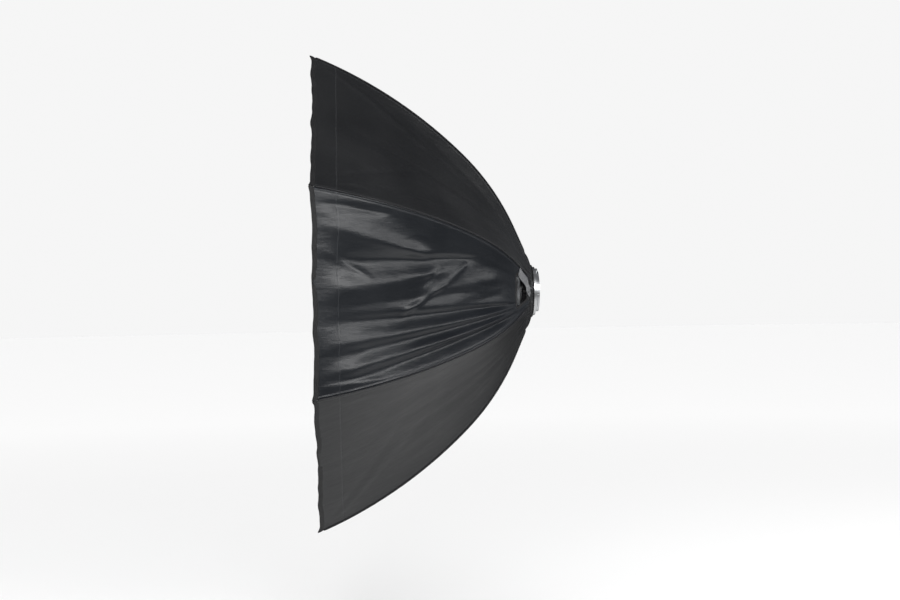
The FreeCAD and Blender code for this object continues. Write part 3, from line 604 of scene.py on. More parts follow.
WEAVE = weave_group()
STITCHES = stitch_group()
DUST = dust_group()
CRINKLE = crinkle_group()
METAL_MARKS = metal_group()


# ---- materials -----------------------------------------------------------------------------------


def new_material(name, shown):
    """An empty material with its Principled shader. Returns it, its Nodes and the shader."""
    made = bpy.data.materials.new(name)
    made.use_nodes = True
    made.diffuse_color = (*shown, 1)
    shader = made.node_tree.nodes["Principled BSDF"]
    return made, Nodes(made.node_tree), shader


def feed_main(n, shader, colour, roughness, normal):
    """Feeds a Principled shader's three main sockets."""
    for key, value in (("Base Color", colour), ("Roughness", roughness), ("Normal", normal)):
        n.feed(shader.inputs[key], value)


def coordinates(n, map_name=None):
    """A piece's own UV map, or its Object coordinates."""
    if map_name:
        return n.add("ShaderNodeUVMap", uv_map=map_name).outputs[0]
    return n.add("ShaderNodeTexCoord").outputs["Object"]


FRONT_STITCHES = 0.058
SEAM_STITCHES = 0.007


def shell_nylon(name, dark, light, rough):
    """Black coated nylon with a satin face, topstitched beside its seams and front edge."""
    made, n, shader = new_material(name, dark)
    flat = coordinates(n, "flat")
    edges = n.add("ShaderNodeSeparateXYZ")
    n.feed(edges.inputs[0], coordinates(n, "edges"))
    run = n.add("ShaderNodeSeparateXYZ")
    n.feed(run.inputs[0], flat)
    off_front, off_seam = edges.outputs[:2]
    front = n.group(STITCHES, Distance=off_front, Run=run.outputs[1], Line=FRONT_STITCHES)
    seam = n.group(STITCHES, Distance=off_seam, Run=run.outputs[0], Line=SEAM_STITCHES)
    thread = n.math("MAXIMUM", front["Mask"], seam["Mask"])
    weave = n.group(WEAVE, Vector=flat, Pitch=0.0006)
    crinkle = n.group(CRINKLE, Vector=flat)
    dust = n.group(DUST, Vector=coordinates(n), Amount=0.22)
    cloth = n.mix(n.ramp(crinkle["Patch"], 0.3, 0.7), dark, light)
    cloth = n.mix(n.math("MULTIPLY", weave["Thread"], 0.3), cloth, light)
    cloth = n.mix(dust["Mask"], cloth, (0.16, 0.16, 0.165))
    cloth = n.mix(n.math("MULTIPLY", thread, 0.5), cloth, (0.06, 0.063, 0.068))
    satin = n.ramp(crinkle["Patch"], 0.3, 0.7, rough - 0.05, rough + 0.06)
    normal = n.bump(crinkle["Height"], 0.55, 0.004)
    normal = n.bump(weave["Height"], 0.25, 0.00012, normal)
    groove = n.math("MAXIMUM", front["Groove"], seam["Groove"])
    height = n.math("SUBTRACT", n.math("MULTIPLY", thread, 0.5), groove)
    feed_main(n, shader, cloth, satin, n.bump(height, 0.7, 0.0006, normal))
    shader.inputs["Specular IOR Level"].default_value = 0.55
    shader.inputs["Sheen Weight"].default_value = 0.015
    shader.inputs["Sheen Roughness"].default_value = 0.4
    return made


def silver_lining():
    """The inner face of a gore: silver coated cloth with a fine crinkle."""
    made, n, shader = new_material("silver_lining", (0.7, 0.7, 0.72))
    flat = coordinates(n, "flat")
    weave = n.group(WEAVE, Vector=flat, Pitch=0.0011)
    crinkle = n.group(CRINKLE, Vector=flat)
    cloth = n.mix(n.ramp(crinkle["Patch"], 0.3, 0.7), (0.60, 0.61, 0.63), (0.74, 0.745, 0.76))
    rough = n.ramp(weave["Thread"], 0.3, 0.7, 0.30, 0.42)
    normal = n.bump(crinkle["Height"], 0.7, 0.005)
    feed_main(n, shader, cloth, rough, n.bump(weave["Height"], 0.5, 0.0002, normal))
    shader.inputs["Metallic"].default_value = 0.45
    return made


def plain_cloth(name, dark, light, rough, pitch=0.0007, sheen=0.1, rib=1.0, fuzz=0.0):
    """Cloth, tape or webbing: a weave on the object's own coordinates, with lint and fuzz.

    Pitch is the distance between two threads, and rib how much closer the cross threads lie.
    """
    made, n, shader = new_material(name, light)
    where = coordinates(n)
    turned_on = n.add("ShaderNodeMapping")
    n.feed(turned_on.inputs["Vector"], where)
    turned_on.inputs["Rotation"].default_value = (0.4, 0.7, 0.2)
    weave = n.group(WEAVE, Vector=turned_on.outputs[0], Pitch=pitch, Rib=rib)
    dust = n.group(DUST, Vector=where, Amount=0.2)
    patch = n.ramp(n.noise(where, 30.0, 3.0), 0.35, 0.65)
    # The weave's raised threads are painted lighter and the gaps between them darker, in random patches.
    # This is painted shade between the threads, laid over the cloth's own tone.
    cloth = n.mix(n.math("MULTIPLY", weave["Height"], patch), dark, light)
    cloth = n.mix(dust["Mask"], cloth, (0.3, 0.3, 0.3))
    height = weave["Height"]
    if fuzz:
        height = n.math("ADD", height, n.math("MULTIPLY", n.noise(where, 1400.0, 3.0, 0.8), fuzz))
    rough = n.ramp(patch, 0, 1, rough - 0.04, rough + 0.05)
    feed_main(n, shader, cloth, rough, n.bump(height, 0.5, pitch * 0.5))
    shader.inputs["Specular IOR Level"].default_value = 0.35
    shader.inputs["Sheen Weight"].default_value = sheen
    shader.inputs["Sheen Roughness"].default_value = 0.5
    return made


def worked_metal(name, colour, worn, rough, metallic=1.0, lines=1.0):
    """Turned, cast or drawn metal with a little wear."""
    made, n, shader = new_material(name, colour)
    marks = n.group(METAL_MARKS, Vector=coordinates(n), Scale=lines)
    tone = n.mix(n.math("MULTIPLY", marks["Scratch"], 0.4), colour, worn)
    smeared = n.ramp(marks["Smear"], 0.3, 0.7, rough - 0.06, rough + 0.1)
    feed_main(n, shader, tone, smeared, n.bump(marks["Height"], 0.25, 0.0002))
    shader.inputs["Metallic"].default_value = metallic
    return made


def moulded_plastic(name, dark, light, rough):
    """Black moulded plastic with a fine grain."""
    made, n, shader = new_material(name, light)
    where = coordinates(n)
    grain = n.noise(where, 1800.0, 2.0, 0.6)
    tone = n.mix(n.ramp(n.noise(where, 40.0, 3.0), 0.35, 0.65), dark, light)
    grainy = n.ramp(grain, 0.3, 0.7, rough - 0.05, rough + 0.08)
    feed_main(n, shader, tone, grainy, n.bump(grain, 0.3, 0.00015))
    return made


SHELL = shell_nylon("shell_nylon", (0.0055, 0.0060, 0.0068), (0.0085, 0.0090, 0.0100), 0.46)
SATIN = shell_nylon("satin_nylon", (0.0045, 0.0056, 0.0075), (0.0070, 0.0086, 0.0112), 0.33)
SILVER = silver_lining()
BINDING = plain_cloth("binding_tape", (0.006, 0.006, 0.0065), (0.012, 0.012, 0.013), 0.6, 0.0008, 0.03)
# The piping cloth is set lighter than the gores' black cloth. This is partly its own tone and partly a
# painted highlight along the seam cords and the collar's bead.
PIPING = plain_cloth("piping_cloth", (0.010, 0.010, 0.011), (0.020, 0.020, 0.022), 0.34, 0.0007, 0.03)
LOOP = plain_cloth("loop_tape", (0.012, 0.012, 0.013), (0.03, 0.03, 0.032), 0.9, 0.0012, 0.3, fuzz=1.5)
HOOK = plain_cloth("hook_tape", (0.010, 0.010, 0.011), (0.022, 0.022, 0.024), 0.6, 0.0016, 0.1)
WEBBING = plain_cloth("strap_webbing", (0.07, 0.073, 0.078), (0.16, 0.165, 0.17), 0.7, 0.0014, 0.15, 1.6)
ELASTIC = plain_cloth("elastic_braid", (0.012, 0.012, 0.013), (0.03, 0.03, 0.032), 0.75, 0.0011, 0.15, 2.0)
WHITE = plain_cloth("diffusion_cloth", (0.74, 0.745, 0.75), (0.84, 0.84, 0.84), 0.85, 0.0006, 0.1)
HEM = plain_cloth("white_hem", (0.66, 0.66, 0.66), (0.78, 0.78, 0.78), 0.8, 0.0009, 0.1)
THREAD = plain_cloth("sewing_thread", (0.03, 0.03, 0.032), (0.07, 0.07, 0.075), 0.6, 0.0003, 0.1)
CAST = worked_metal("cast_core", (0.62, 0.63, 0.64), (0.8, 0.8, 0.8), 0.34)
RING_PAINT = worked_metal("ring_paint", (0.018, 0.018, 0.02), (0.3, 0.3, 0.3), 0.42, 0.25)
SPRING = worked_metal("spring_steel", (0.10, 0.10, 0.105), (0.45, 0.45, 0.45), 0.36, 0.9)
PLATED = worked_metal("plated_steel", (0.5, 0.5, 0.5), (0.75, 0.75, 0.73), 0.26)
PLASTIC = moulded_plastic("moulded_plastic", (0.012, 0.012, 0.013), (0.02, 0.02, 0.021), 0.45)


# ---- gores, piping and binding -------------------------------------------------------------------

GORE_ROWS = 150
GORE_COLUMNS = 96
OPENING_HALVES = (0.019, 0.040)
OPENING_RIM = 0.002772
OPEN_SIDES = ("near", "far")


def opening_shares():
    """The access opening on the near gore: along at its root and front, half widths across."""
    low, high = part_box("opening_binding_near")
    ends = []
    for x, half in zip((high[0] - OPENING_RIM, low[0] + OPENING_RIM), OPENING_HALVES):
        along = profile.along_at(x)
        ends.append((along, half / float(half_width(along))))
    return ends


OPENING = opening_shares()


def slice_between(bm, low, high, place, normal):
    """Cuts a flat grid along a line, but only between two places along."""
    near = [f for f in bm.faces if low < f.calc_center_median().x < high]
    geom = near + list({e for f in near for e in f.edges} | {v for f in near for v in f.verts})
    bmesh.ops.bisect_plane(bm, geom=geom, dist=1e-7, plane_co=place, plane_no=normal)


def cut_opening(bm):
    """Cuts the access opening in a gore's flat grid, in shares along and across."""
    (root, root_half), (front, front_half) = OPENING
    for end in (root, front):
        slice_between(bm, end - 0.05, end + 0.05, (end, 0.5, 0), (1, 0, 0))
    for side in (1, -1):
        start = Vector((root, 0.5 + side * root_half / 2, 0))
        run = Vector((front, 0.5 + side * front_half / 2, 0)) - start
        slice_between(bm, root - 0.02, front + 0.02, start, (-run.y, run.x, 0))

    def inside(face):
        spot = face.calc_center_median()
        share = (spot.x - root) / (front - root)
        half = (root_half + (front_half - root_half) * share) / 2
        return 0 < share < 1 and abs(spot.y - 0.5) < half

    bmesh.ops.delete(bm, geom=[f for f in bm.faces if inside(f)], context="FACES")


def gore_maps(along, across):
    """A gore's flat pattern in metres, and its distances from the front edge and the seams."""
    flat = np.stack([along * profile.length, across * half_width(along)], axis=-1)
    off_seam = (1 - np.abs(across)) * half_width(along)
    edges = np.stack([(1 - along) * profile.length, off_seam], axis=-1)
    return flat, edges


def make_gores():
    """The eight gores. The near and far ones have an access opening and a glossier face."""
    for index, direction in enumerate(GORES):
        bm = grid(GORE_ROWS, GORE_COLUMNS)
        if direction in OPEN_SIDES:
            cut_opening(bm)
        shares = shares_of(bm)
        along, across = shares[:, 0], shares[:, 1] * 2 - 1
        flat, edges = gore_maps(along, across)
        put(bm, on_cloth(along, across, index))
        face = SATIN if direction in OPEN_SIDES else SHELL
        made = piece(
            f"gore_cloth_{direction}", bm, [face, SILVER], away_from=(-0.3, 0, 0),
            maps=(("flat", flat), ("edges", edges)),
        )
        thicken(made, CLOTH, inner=1)
        stands_for(made, f"gore_{direction}")


PIPING_RADIUS = 0.0017


def make_piping():
    """A cord in a fold of cloth along each seam, half sunk between the two gores."""
    along = np.linspace(0.02, 0.985, 190)
    parts = []
    for index in range(SIDES):
        line = on_cloth(along, -1.0, index)
        corner = STEP * index + HALF
        lean_x, lean_out = profile.lean(along)
        size = np.hypot(lean_out, -lean_x / math.cos(HALF))
        away = turned(corner, lean_out, 0 * along, -lean_x / math.cos(HALF)) / size[:, None]
        parts.append(tube(line + away * CLOTH, PIPING_RADIUS))
    stands_for(piece("seam_cord", join(parts), [PIPING]), "seam_piping")


def around_section(shares, depth, height, power=0.6):
    """A flattened loop: its offsets along and out of the cloth, for shares of a turn."""
    turn = shares * 2 * math.pi
    c, s = np.cos(turn), np.sin(turn)
    return depth * np.sign(c) * np.abs(c) ** power, height * np.sign(s) * np.abs(s) ** power


BINDING_DEPTH = 0.0058
BINDING_HEIGHT = 0.0013
BINDING_BACK = 0.0030


def make_front_binding():
    """The tape folded over the gores' front edges: half its depth and height, and its middle."""
    parts = []
    for index in range(SIDES):
        bm = grid(72, 14)
        shares = shares_of(bm)
        across = 1 - shares[:, 0] * 2
        rng = np.random.default_rng(500 + index)
        phase = rng.uniform(0, 6, 4)
        back, lift = around_section(shares[:, 1], BINDING_DEPTH, BINDING_HEIGHT)
        held = np.sqrt(np.clip(1 - across**2, 0, 1))
        ripple = 0.5 * np.sin(46 * across + phase[0]) + 0.4 * np.sin(71 * across + phase[1])
        curl = np.sin(5 * across + phase[2]) + 0.6 * np.sin(11 * across + phase[3])
        lift = lift * (1 + 0.22 * ripple * held) + 0.0007 * curl * held - CLOTH / 2
        back = BINDING_BACK - back * (1 + 0.05 * ripple * held)
        put(bm, from_edge(back, across, index, lift))
        parts.append(bm)
    bm = join(parts)
    bmesh.ops.remove_doubles(bm, verts=bm.verts, dist=0.0002)
    bmesh.ops.recalc_face_normals(bm, faces=bm.faces)
    stands_for(piece("front_edge_tape", bm, [BINDING]), "front_binding")


# ---- hook and loop tapes, diffuser, baffle -------------------------------------------------------

ROD_ROOM = 0.0185
LOOP_LIFT = -0.0010
BORDER_LIFT = -0.0056
ROD_DIP = 0.0046
HOOK_RISE = 0.0014
LOOP_THICK = 0.0016
HOOK_THICK = 0.0013
BORDER_THICK = 0.0012
SHEET_THICK = 0.0006
SLACK = 0.004
HEM_WIDTH = 0.0195
HEM_THICK = 0.0011
SCALLOP = 0.010


def strips(name, node, material, body, lift_of, thick):
    """Eight strips of tape between the rods, as deep as the CAD ones."""
    low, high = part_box(node)
    back_along, front_along = profile.along_at(high[0]), profile.along_at(low[0])
    parts = []
    for index in range(SIDES):
        bm = grid(8, 64)
        shares = shares_of(bm)
        along = back_along + (front_along - back_along) * shares[:, 0]
        limit = 1 - ROD_ROOM / half_width(along)
        across = (shares[:, 1] * 2 - 1) * limit
        put(bm, on_cloth(along, across, index, lift_of(along, across)))
        parts.append(bm)
    made = piece(name, join(parts), [material], body, away_from=(-0.3, 0, 0))
    thicken(made, thick)
    stands_for(made, node)


def band_lift(along, across):
    """How far the diffuser's border stands from the outer face of the cloth. It dips at rods."""
    at_rod = 1 - eased((1 - np.abs(across)) * half_width(along), 0.010, 0.030)
    return BORDER_LIFT - ROD_DIP * at_rod


def make_tapes():
    """The loop tape inside the front lip, and the hook tape on the diffuser's border."""
    def lip_lift(along, across):
        return LOOP_LIFT

    def hook_lift(along, across):
        return band_lift(along, across) + HOOK_RISE

    strips("lip_loop", "lip_loop_tape", LOOP, "softbox", lip_lift, LOOP_THICK)
    strips("diffuser_hook", "diffuser_hook_tape", HOOK, "diffuser", hook_lift, HOOK_THICK)


def make_border():
    """The diffuser's border. Returns it and where its front edge lies along the gores."""
    low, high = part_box("diffuser_border")
    back_along, front_along = profile.along_at(high[0]), profile.along_at(low[0])
    parts = []
    for index in range(SIDES):
        bm = grid(10, 80)
        shares = shares_of(bm)
        along = back_along + (front_along - back_along) * shares[:, 0]
        across = shares[:, 1] * 2 - 1
        put(bm, on_cloth(along, across, index, band_lift(along, across)))
        parts.append(bm)
    bm = join(parts)
    bmesh.ops.remove_doubles(bm, verts=bm.verts, dist=0.0006)
    made = piece("diffuser_edge", bm, [BINDING], "diffuser", away_from=(-0.45, 0, 0))
    thicken(made, BORDER_THICK)
    stands_for(made, "diffuser_border")
    return made, front_along


def disc_of_cloth(name, rim, sag, body, rings=70):
    """A slack white sheet inside a rim of points. Sag adds to its X, for a share and a turn."""
    count = len(rim)
    bm = grid(rings, count)
    shares = shares_of(bm)
    column = nearest(shares[:, 1], count) % count
    centre = np.array([rim[:, 0].mean(), 0, 0])
    share = np.maximum(shares[:, 0], 1e-6)
    spots = centre + (rim[column] - centre) * share[:, None]
    turn = np.arctan2(-rim[column, 1], rim[column, 2])
    size = np.hypot(spots[:, 1], spots[:, 2]) / np.hypot(rim[:, 1], rim[:, 2]).mean()
    slack = SLACK * (1 - size**2) * (1 - share**8)
    spots[:, 0] = centre[0] + (rim[column, 0] - centre[0]) * share**6 + slack + sag(share, turn)
    put(bm, spots)
    bmesh.ops.remove_doubles(bm, verts=bm.verts, dist=1e-5)
    bmesh.ops.recalc_face_normals(bm, faces=bm.faces)
    made = piece(name, bm, [WHITE], body)
    face_x(made, -1)
    return thicken(made, SHEET_THICK, offset=0.0)


def pulled_wrinkles(share, turn, depth, seed, count=3):
    """Shallow wrinkles that run in from the corners, where the sheet is held."""
    rng = np.random.default_rng(seed)
    total = np.zeros_like(share)
    for corner in range(SIDES):
        away = (turn - HALF - STEP * corner + math.pi) % (2 * math.pi) - math.pi
        for _ in range(count):
            aim = rng.uniform(-0.22, 0.22)
            wide = rng.uniform(0.018, 0.045)
            reach = rng.uniform(0.35, 0.7)
            fade = rng.uniform(0.3, 1.0) * eased(share, reach, 0.97) * (1 - eased(share, 0.985, 1.0))
            off = (away - aim * (1 - share) * 3) / wide
            total += rng.choice([-1, 1]) * np.exp(-(off**2)) * fade
    return depth * total


def make_diffuser():
    """The white sheet that closes the front, sewn to its border."""
    edge, front_along = make_border()
    across = 1 - np.arange(56) / 28
    rim = np.vstack([
        on_cloth(front_along, across, i, band_lift(front_along, across) - SHEET_THICK)
        for i in range(SIDES)
    ])

    def sag(share, turn):
        return pulled_wrinkles(share, turn, depth=0.0022, seed=71)

    made = disc_of_cloth("diffuser_sheet", rim, sag, "diffuser")
    stands_for(made, "diffuser_cloth")


def octagon_rim(corner_r, x, per_side=40):
    """Points round an octagon whose sides are drawn in between the corners."""
    rim = []
    for index in range(SIDES):
        across = 1 - 2 * np.arange(per_side) / per_side
        out = corner_r * math.cos(HALF) - SCALLOP * (1 - across**2)
        side = corner_r * math.sin(HALF) * across
        rim.append(turned(STEP * index, np.full(per_side, x), side, out))
    return np.vstack(rim)


def make_baffle():
    """The inner sheet, and the hem round its rim."""
    low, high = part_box("baffle_cloth")
    corner_r = high[2] / math.cos(HALF)

    def sag(share, turn):
        return pulled_wrinkles(share, turn, depth=0.0030, seed=81)

    rim = octagon_rim(corner_r, (low[0] + high[0]) / 2)
    sheet = disc_of_cloth("baffle_sheet", rim, sag, "softbox", 50)
    hem_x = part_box("baffle_hem")[1][0]
    outer, inner = (octagon_rim(corner_r - inset, hem_x) for inset in (0.0, HEM_WIDTH))
    bm = grid(6, len(outer))
    shares = shares_of(bm)
    column = nearest(shares[:, 1], len(outer)) % len(outer)
    spots = outer[column] + (inner[column] - outer[column]) * shares[:, :1]
    spots[:, 0] += 0.0004 * np.sin(column * 0.9) * np.sin(math.pi * shares[:, 0])
    put(bm, spots)
    bmesh.ops.remove_doubles(bm, verts=bm.verts, dist=1e-5)
    hem = piece("baffle_edge", bm, [HEM])
    face_x(hem, 1)
    thicken(hem, HEM_THICK)
    stands_for(hem, "baffle_hem")
    stands_for(sheet, "baffle_cloth")


TAB_THICK = 0.0011
TAB_HALF = 0.0098
TAB_TAPER = 0.0030


def make_baffle_tabs():
    """Eight elastic tabs, sewn to the hem and looped round the clips on the rods."""
    low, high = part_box("baffle_tabs")
    x = (low[0] + high[0]) / 2
    spots = vertices_of("baffle_tabs", 0)
    out = np.hypot(spots[:, 1], spots[:, 2])
    start, end = out.min(), np.percentile(out, 95)
    parts = []
    for corner in range(SIDES):
        bm = grid(30, 12)
        shares = shares_of(bm)
        run = start + (end - start) * shares[:, 0]
        half = TAB_HALF - TAB_TAPER * eased(shares[:, 0], 0.55, 1.0)
        side = (shares[:, 1] * 2 - 1) * half
        wave = 0.0005 * np.sin(shares[:, 0] * 9 + corner)
        put(bm, turned(STEP * corner + HALF, x + 0.0004 + wave, side, run))
        parts.append(bm)
    made = piece("baffle_elastic", join(parts), [ELASTIC])
    face_x(made, 1)
    thicken(made, TAB_THICK)
    stands_for(made, "baffle_tabs")


# ---- corners, collar, openings and straps --------------------------------------------------------


POCKET_THICK = 0.0007
COLLAR_DEPTH = 0.024
COLLAR_SPREAD = 0.075


def make_corner_pockets():
    """A blind pocket of binding tape sewn round each rod's tip."""
    parts = []
    for corner in range(SIDES):
        middle, axis, length, radius = long_axis(vertices_of("corner_pockets", corner))
        corner_turn = STEP * corner + HALF
        away = np.array([0, -math.sin(corner_turn), math.cos(corner_turn)])
        away = away - (away @ axis) * axis
        away /= np.linalg.norm(away)
        beside = np.cross(axis, away)
        bm = grid(24, 20)
        shares = shares_of(bm)
        run = shares[:, 0]
        turn = shares[:, 1] * 2 * math.pi
        size = radius * (1 - 0.04 + 0.03 * np.sin(run * 40 + corner))
        size = size * np.sqrt(np.clip(1 - eased(run, 0.82, 1.0) ** 2, 0.0, 1))
        flare = 1 + 0.10 * (1 - eased(run, 0.0, 0.15))
        wide = size * flare * (1 + 0.12 * np.abs(np.cos(turn)) ** 3)
        tall = size * np.minimum(flare, 1.04)
        spots = (
            middle + ((run - 0.5) * length)[:, None] * axis
            + (wide * np.cos(turn))[:, None] * beside + (tall * np.sin(turn))[:, None] * away
        )
        put(bm, spots)
        bmesh.ops.remove_doubles(bm, verts=bm.verts, dist=1e-5)
        bmesh.ops.recalc_face_normals(bm, faces=bm.faces)
        parts.append(bm)
    made = piece("tip_pockets", join(parts), [BINDING])
    thicken(made, POCKET_THICK)
    stands_for(made, "corner_pockets")


def around_ring(share):
    """A place round the gores' roots, for a share of a turn: the gore's index and across."""
    place = (np.asarray(share) % 1.0) * SIDES
    index = np.minimum(place.astype(int), SIDES - 1)
    return index, 1 - 2 * (place - index)


def root_line(share, lift):
    """Points on the gores' roots for shares of a turn."""
    index, across = around_ring(share)
    spots = np.zeros((len(share), 3))
    for i in range(SIDES):
        chosen = index == i
        if chosen.any():
            spots[chosen] = on_cloth(np.full(chosen.sum(), 0.012), across[chosen], i, lift)
    return spots


def turned_each(turn, x, r):
    """Points at a distance from the axis, each turned about X from straight up."""
    return np.stack([x, -np.sin(turn) * r, np.cos(turn) * r], axis=-1)


def make_collar():
    """The gathered cloth that wraps the back of the ring, drawn in to its elastic hem."""
    end_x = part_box("collar")[1][0]
    rear = vertices_of("collar")
    rear = rear[rear[:, 0] > end_x - 1e-4]
    end_r = np.hypot(rear[:, 1], rear[:, 2]).mean()
    bm = grid(26, 640)
    shares = shares_of(bm)
    run, share = shares[:, 0], shares[:, 1]
    root = root_line(share, -0.0012)
    index, across = around_ring(share)
    turn = STEP * index - np.arctan(across * math.tan(HALF))
    root_x, root_r = root[:, 0], np.hypot(root[:, 1], root[:, 2])
    rng = np.random.default_rng(7)
    pleats = np.zeros_like(share)
    for lobes in (17, 26, 34, 47):
        pleats += rng.uniform(0.5, 1.0) * np.sin(2 * math.pi * lobes * share + rng.uniform(0, 6))
    depth = 0.00075 * eased(run, 0.05, 0.6)
    bow = 0.0022 * np.sin(math.pi * run)
    x = root_x + (end_x - root_x) * run + bow * 0.6
    r = root_r + (end_r - root_r) * run**1.15 + bow + pleats * depth + 0.0006
    put(bm, turned_each(turn, x, r))
    flat = np.stack([run * COLLAR_DEPTH, share * 2 * math.pi * COLLAR_SPREAD], axis=-1)
    edges = np.stack([np.full(len(run), 0.5), (1 - run) * COLLAR_DEPTH], axis=-1)
    made = piece(
        "collar_cloth", bm, [SHELL, SILVER], away_from=(-0.03, 0, 0),
        maps=(("flat", flat), ("edges", edges)),
    )
    thicken(made, CLOTH, inner=1)
    stands_for(made, "collar")


def make_collar_hem():
    """The bead of gathered cloth round the elastic at the collar's rear edge."""
    low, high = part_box("collar_elastic")
    middle_x = (low[0] + high[0]) / 2
    bead_r = (high[0] - low[0]) / 2
    ring_r = high[2] - bead_r
    count = 720
    turn = np.arange(count) / count * 2 * math.pi
    ripple = np.sin(61 * turn) + 0.7 * np.sin(97 * turn + 1) + 0.5 * np.sin(34 * turn + 2)
    bm = grid(count, 12)
    shares = shares_of(bm)
    column = nearest(shares[:, 0], count) % count
    around = shares[:, 1] * 2 * math.pi
    size = bead_r * (1.02 + 0.09 * ripple[column])
    x = middle_x + size * np.cos(around)
    r = ring_r + size * np.sin(around)
    put(bm, turned_each(turn[column], x, r))
    stands_for(piece("collar_bead", close_up(bm), [PIPING]), "collar_elastic")


RIM_DEPTH = 0.0034
RIM_HEIGHT = 0.0009


def opening_path(count=40):
    """Places round the access opening's rim, with rounded corners: along and across in metres."""
    u0, u1 = (along * profile.length for along, half in OPENING)
    v0, v1 = (half * float(half_width(along)) for along, half in OPENING)
    corners = np.array([(u0, -v0), (u0, v0), (u1, v1), (u1, -v1)])
    path = []
    for i in range(4):
        a, b = corners[i], corners[(i + 1) % 4]
        path += [a + (b - a) * t for t in np.linspace(0, 1, count, endpoint=False)]
    path = np.array(path)
    for _ in range(14):
        path = (np.roll(path, 1, axis=0) + 2 * path + np.roll(path, -1, axis=0)) / 4
    return path


def make_opening_binding(direction):
    """The tape round an access opening's rim."""
    index = GORES.index(direction)
    path = opening_path()
    run = np.roll(path, -1, axis=0) - np.roll(path, 1, axis=0)
    run /= np.linalg.norm(run, axis=1)[:, None]
    away = np.stack([-run[:, 1], run[:, 0]], axis=-1)
    if ((path - path.mean(axis=0)) * away).sum() < 0:
        away = -away
    count = len(path)
    bm = grid(count, 12)
    shares = shares_of(bm)
    column = nearest(shares[:, 0], count) % count
    off, lift = around_section(shares[:, 1], RIM_DEPTH, RIM_HEIGHT)
    ripple = 1 + 0.12 * np.sin(column * 0.83) + 0.1 * np.sin(column * 0.37 + 1)
    spot = path[column] + away[column] * (off * ripple + 0.0022)[:, None]
    along = spot[:, 0] / profile.length
    across = spot[:, 1] / half_width(along)
    put(bm, on_cloth(along, across, index, lift * ripple - CLOTH / 2))
    made = piece(f"opening_tape_{direction}", close_up(bm), [BINDING])
    stands_for(made, f"opening_binding_{direction}")


def rounded_bar(plate, run, across_half, lift, thick, columns=16):
    """A soft strap's solid: a flat bar with rounded edges, on a plate's own axes."""
    rows = len(run) - 1
    bm = grid(rows, columns)
    shares = shares_of(bm)
    row = nearest(shares[:, 0], rows)
    off, up = around_section(shares[:, 1], 1.0, 1.0, 0.45)
    half = np.broadcast_to(across_half, len(run))[row]
    tall = np.broadcast_to(thick, len(run))[row] / 2
    put(bm, plate.at(run[row], off * half, lift[row] + tall + up * tall))
    bmesh.ops.remove_doubles(bm, verts=bm.verts, dist=1e-7)
    bmesh.ops.holes_fill(bm, edges=bm.edges, sides=columns + 2)
    bmesh.ops.recalc_face_normals(bm, faces=bm.faces)
    return bm


def stitch_row(plate, start, end, lift, pitch=0.0032):
    """Small stitches in a line on a plate, between two places given as along and across."""
    start, end = np.array(start), np.array(end)
    count = max(2, int(np.linalg.norm(end - start) / pitch))
    run = (end - start) / np.linalg.norm(end - start)
    parts = []
    for i in range(count):
        middle = start + (end - start) * (i + 0.5) / count
        ends = np.array([middle + run * pitch * k for k in (-0.36, -0.2, 0.2, 0.36)])
        rise = lift + np.array([-0.0001, 0.0002, 0.0002, -0.0001])
        parts.append(tube(plate.at(ends[:, 0], ends[:, 1], rise), 0.00028, sides=5))
    return parts


WEB_THICK = 0.0013
FOLD_THICK = 0.0009
SEWN_DROP = 0.0019
WEB_BOW = 0.0034
STITCH_INSET = 0.003


def make_strap(direction):
    """The closing strap over an access opening, with its sewing and hook and loop patches."""
    body = f"strap_{direction}"
    plate = Plate(body)
    run = np.linspace(0, plate.length, 60)
    share = run / plate.length
    sewn_down = 1 - eased(run, 0.010, 0.030)
    bow = WEB_BOW * np.sin(math.pi * np.clip((share - 0.18) / 0.62, 0, 1)) ** 2
    half = np.full(len(run), plate.width / 2 - 0.0002)
    half[0] = half[-1] = plate.width / 2 - 0.0012
    thick = WEB_THICK + FOLD_THICK * eased(run, plate.length - 0.011, plate.length - 0.009)
    bar = rounded_bar(plate, run, half, bow - SEWN_DROP * sewn_down, thick, 24)
    stands_for(piece(f"strap_web_{direction}", bar, [WEBBING], body), body)
    edge = plate.width / 2 - STITCH_INSET
    top = -SEWN_DROP + WEB_THICK + 0.00005
    box = ((0.0025, -edge), (0.0095, -edge), (0.0095, edge), (0.0025, edge))
    rows = []
    for i in range(4):
        rows += stitch_row(plate, box[i], box[(i + 1) % 4], top)
    for back in (0.003, 0.0085):
        spot = plate.length - back
        rows += stitch_row(plate, (spot, -edge), (spot, edge), WEB_THICK + FOLD_THICK)
    sewing = piece(f"strap_stitches_{direction}", join(rows), [THREAD], body)
    for kind, holder, material in (("hook", body, HOOK), ("loop", "softbox", LOOP)):
        node = f"strap_{kind}_{direction}"
        patch = Plate(node)
        spots = np.linspace(0.0006, patch.length - 0.0006, 20)
        half = patch.width / 2 - 0.0008
        bar = rounded_bar(patch, spots, half, np.zeros(20), np.full(20, patch.thick), 20)
        stands_for(piece(f"{kind}_patch_{direction}", bar, [material], holder), node)


# ---- CAD pieces that keep their shape ------------------------------------------------------------

KEPT = {
    "bayonet_core": CAST,
    "retaining_ring": CAST,
    "retaining_screws": PLATED,
    "rod_ring": RING_PAINT,
    "lock_stud": PLATED,
    "lock_knob": PLASTIC,
    "rod_ferrules": PLATED,
    "rod_tip_caps": PLASTIC,
    "baffle_clips": PLASTIC,
}
KEPT.update({f"rod_{i + 1}": SPRING for i in range(SIDES)})


def finish_cad_pieces():
    """Gives the pieces that keep their CAD mesh their materials."""
    for node, material in KEPT.items():
        slots = nodes[node].material_slots
        for held in slots:
            held.material = material
        if not slots:
            nodes[node].data.materials.append(material)


# ---- floor, light and camera ---------------------------------------------------------------------


FLOOR_Z = -0.82
FLOOR_RADIUS = 40


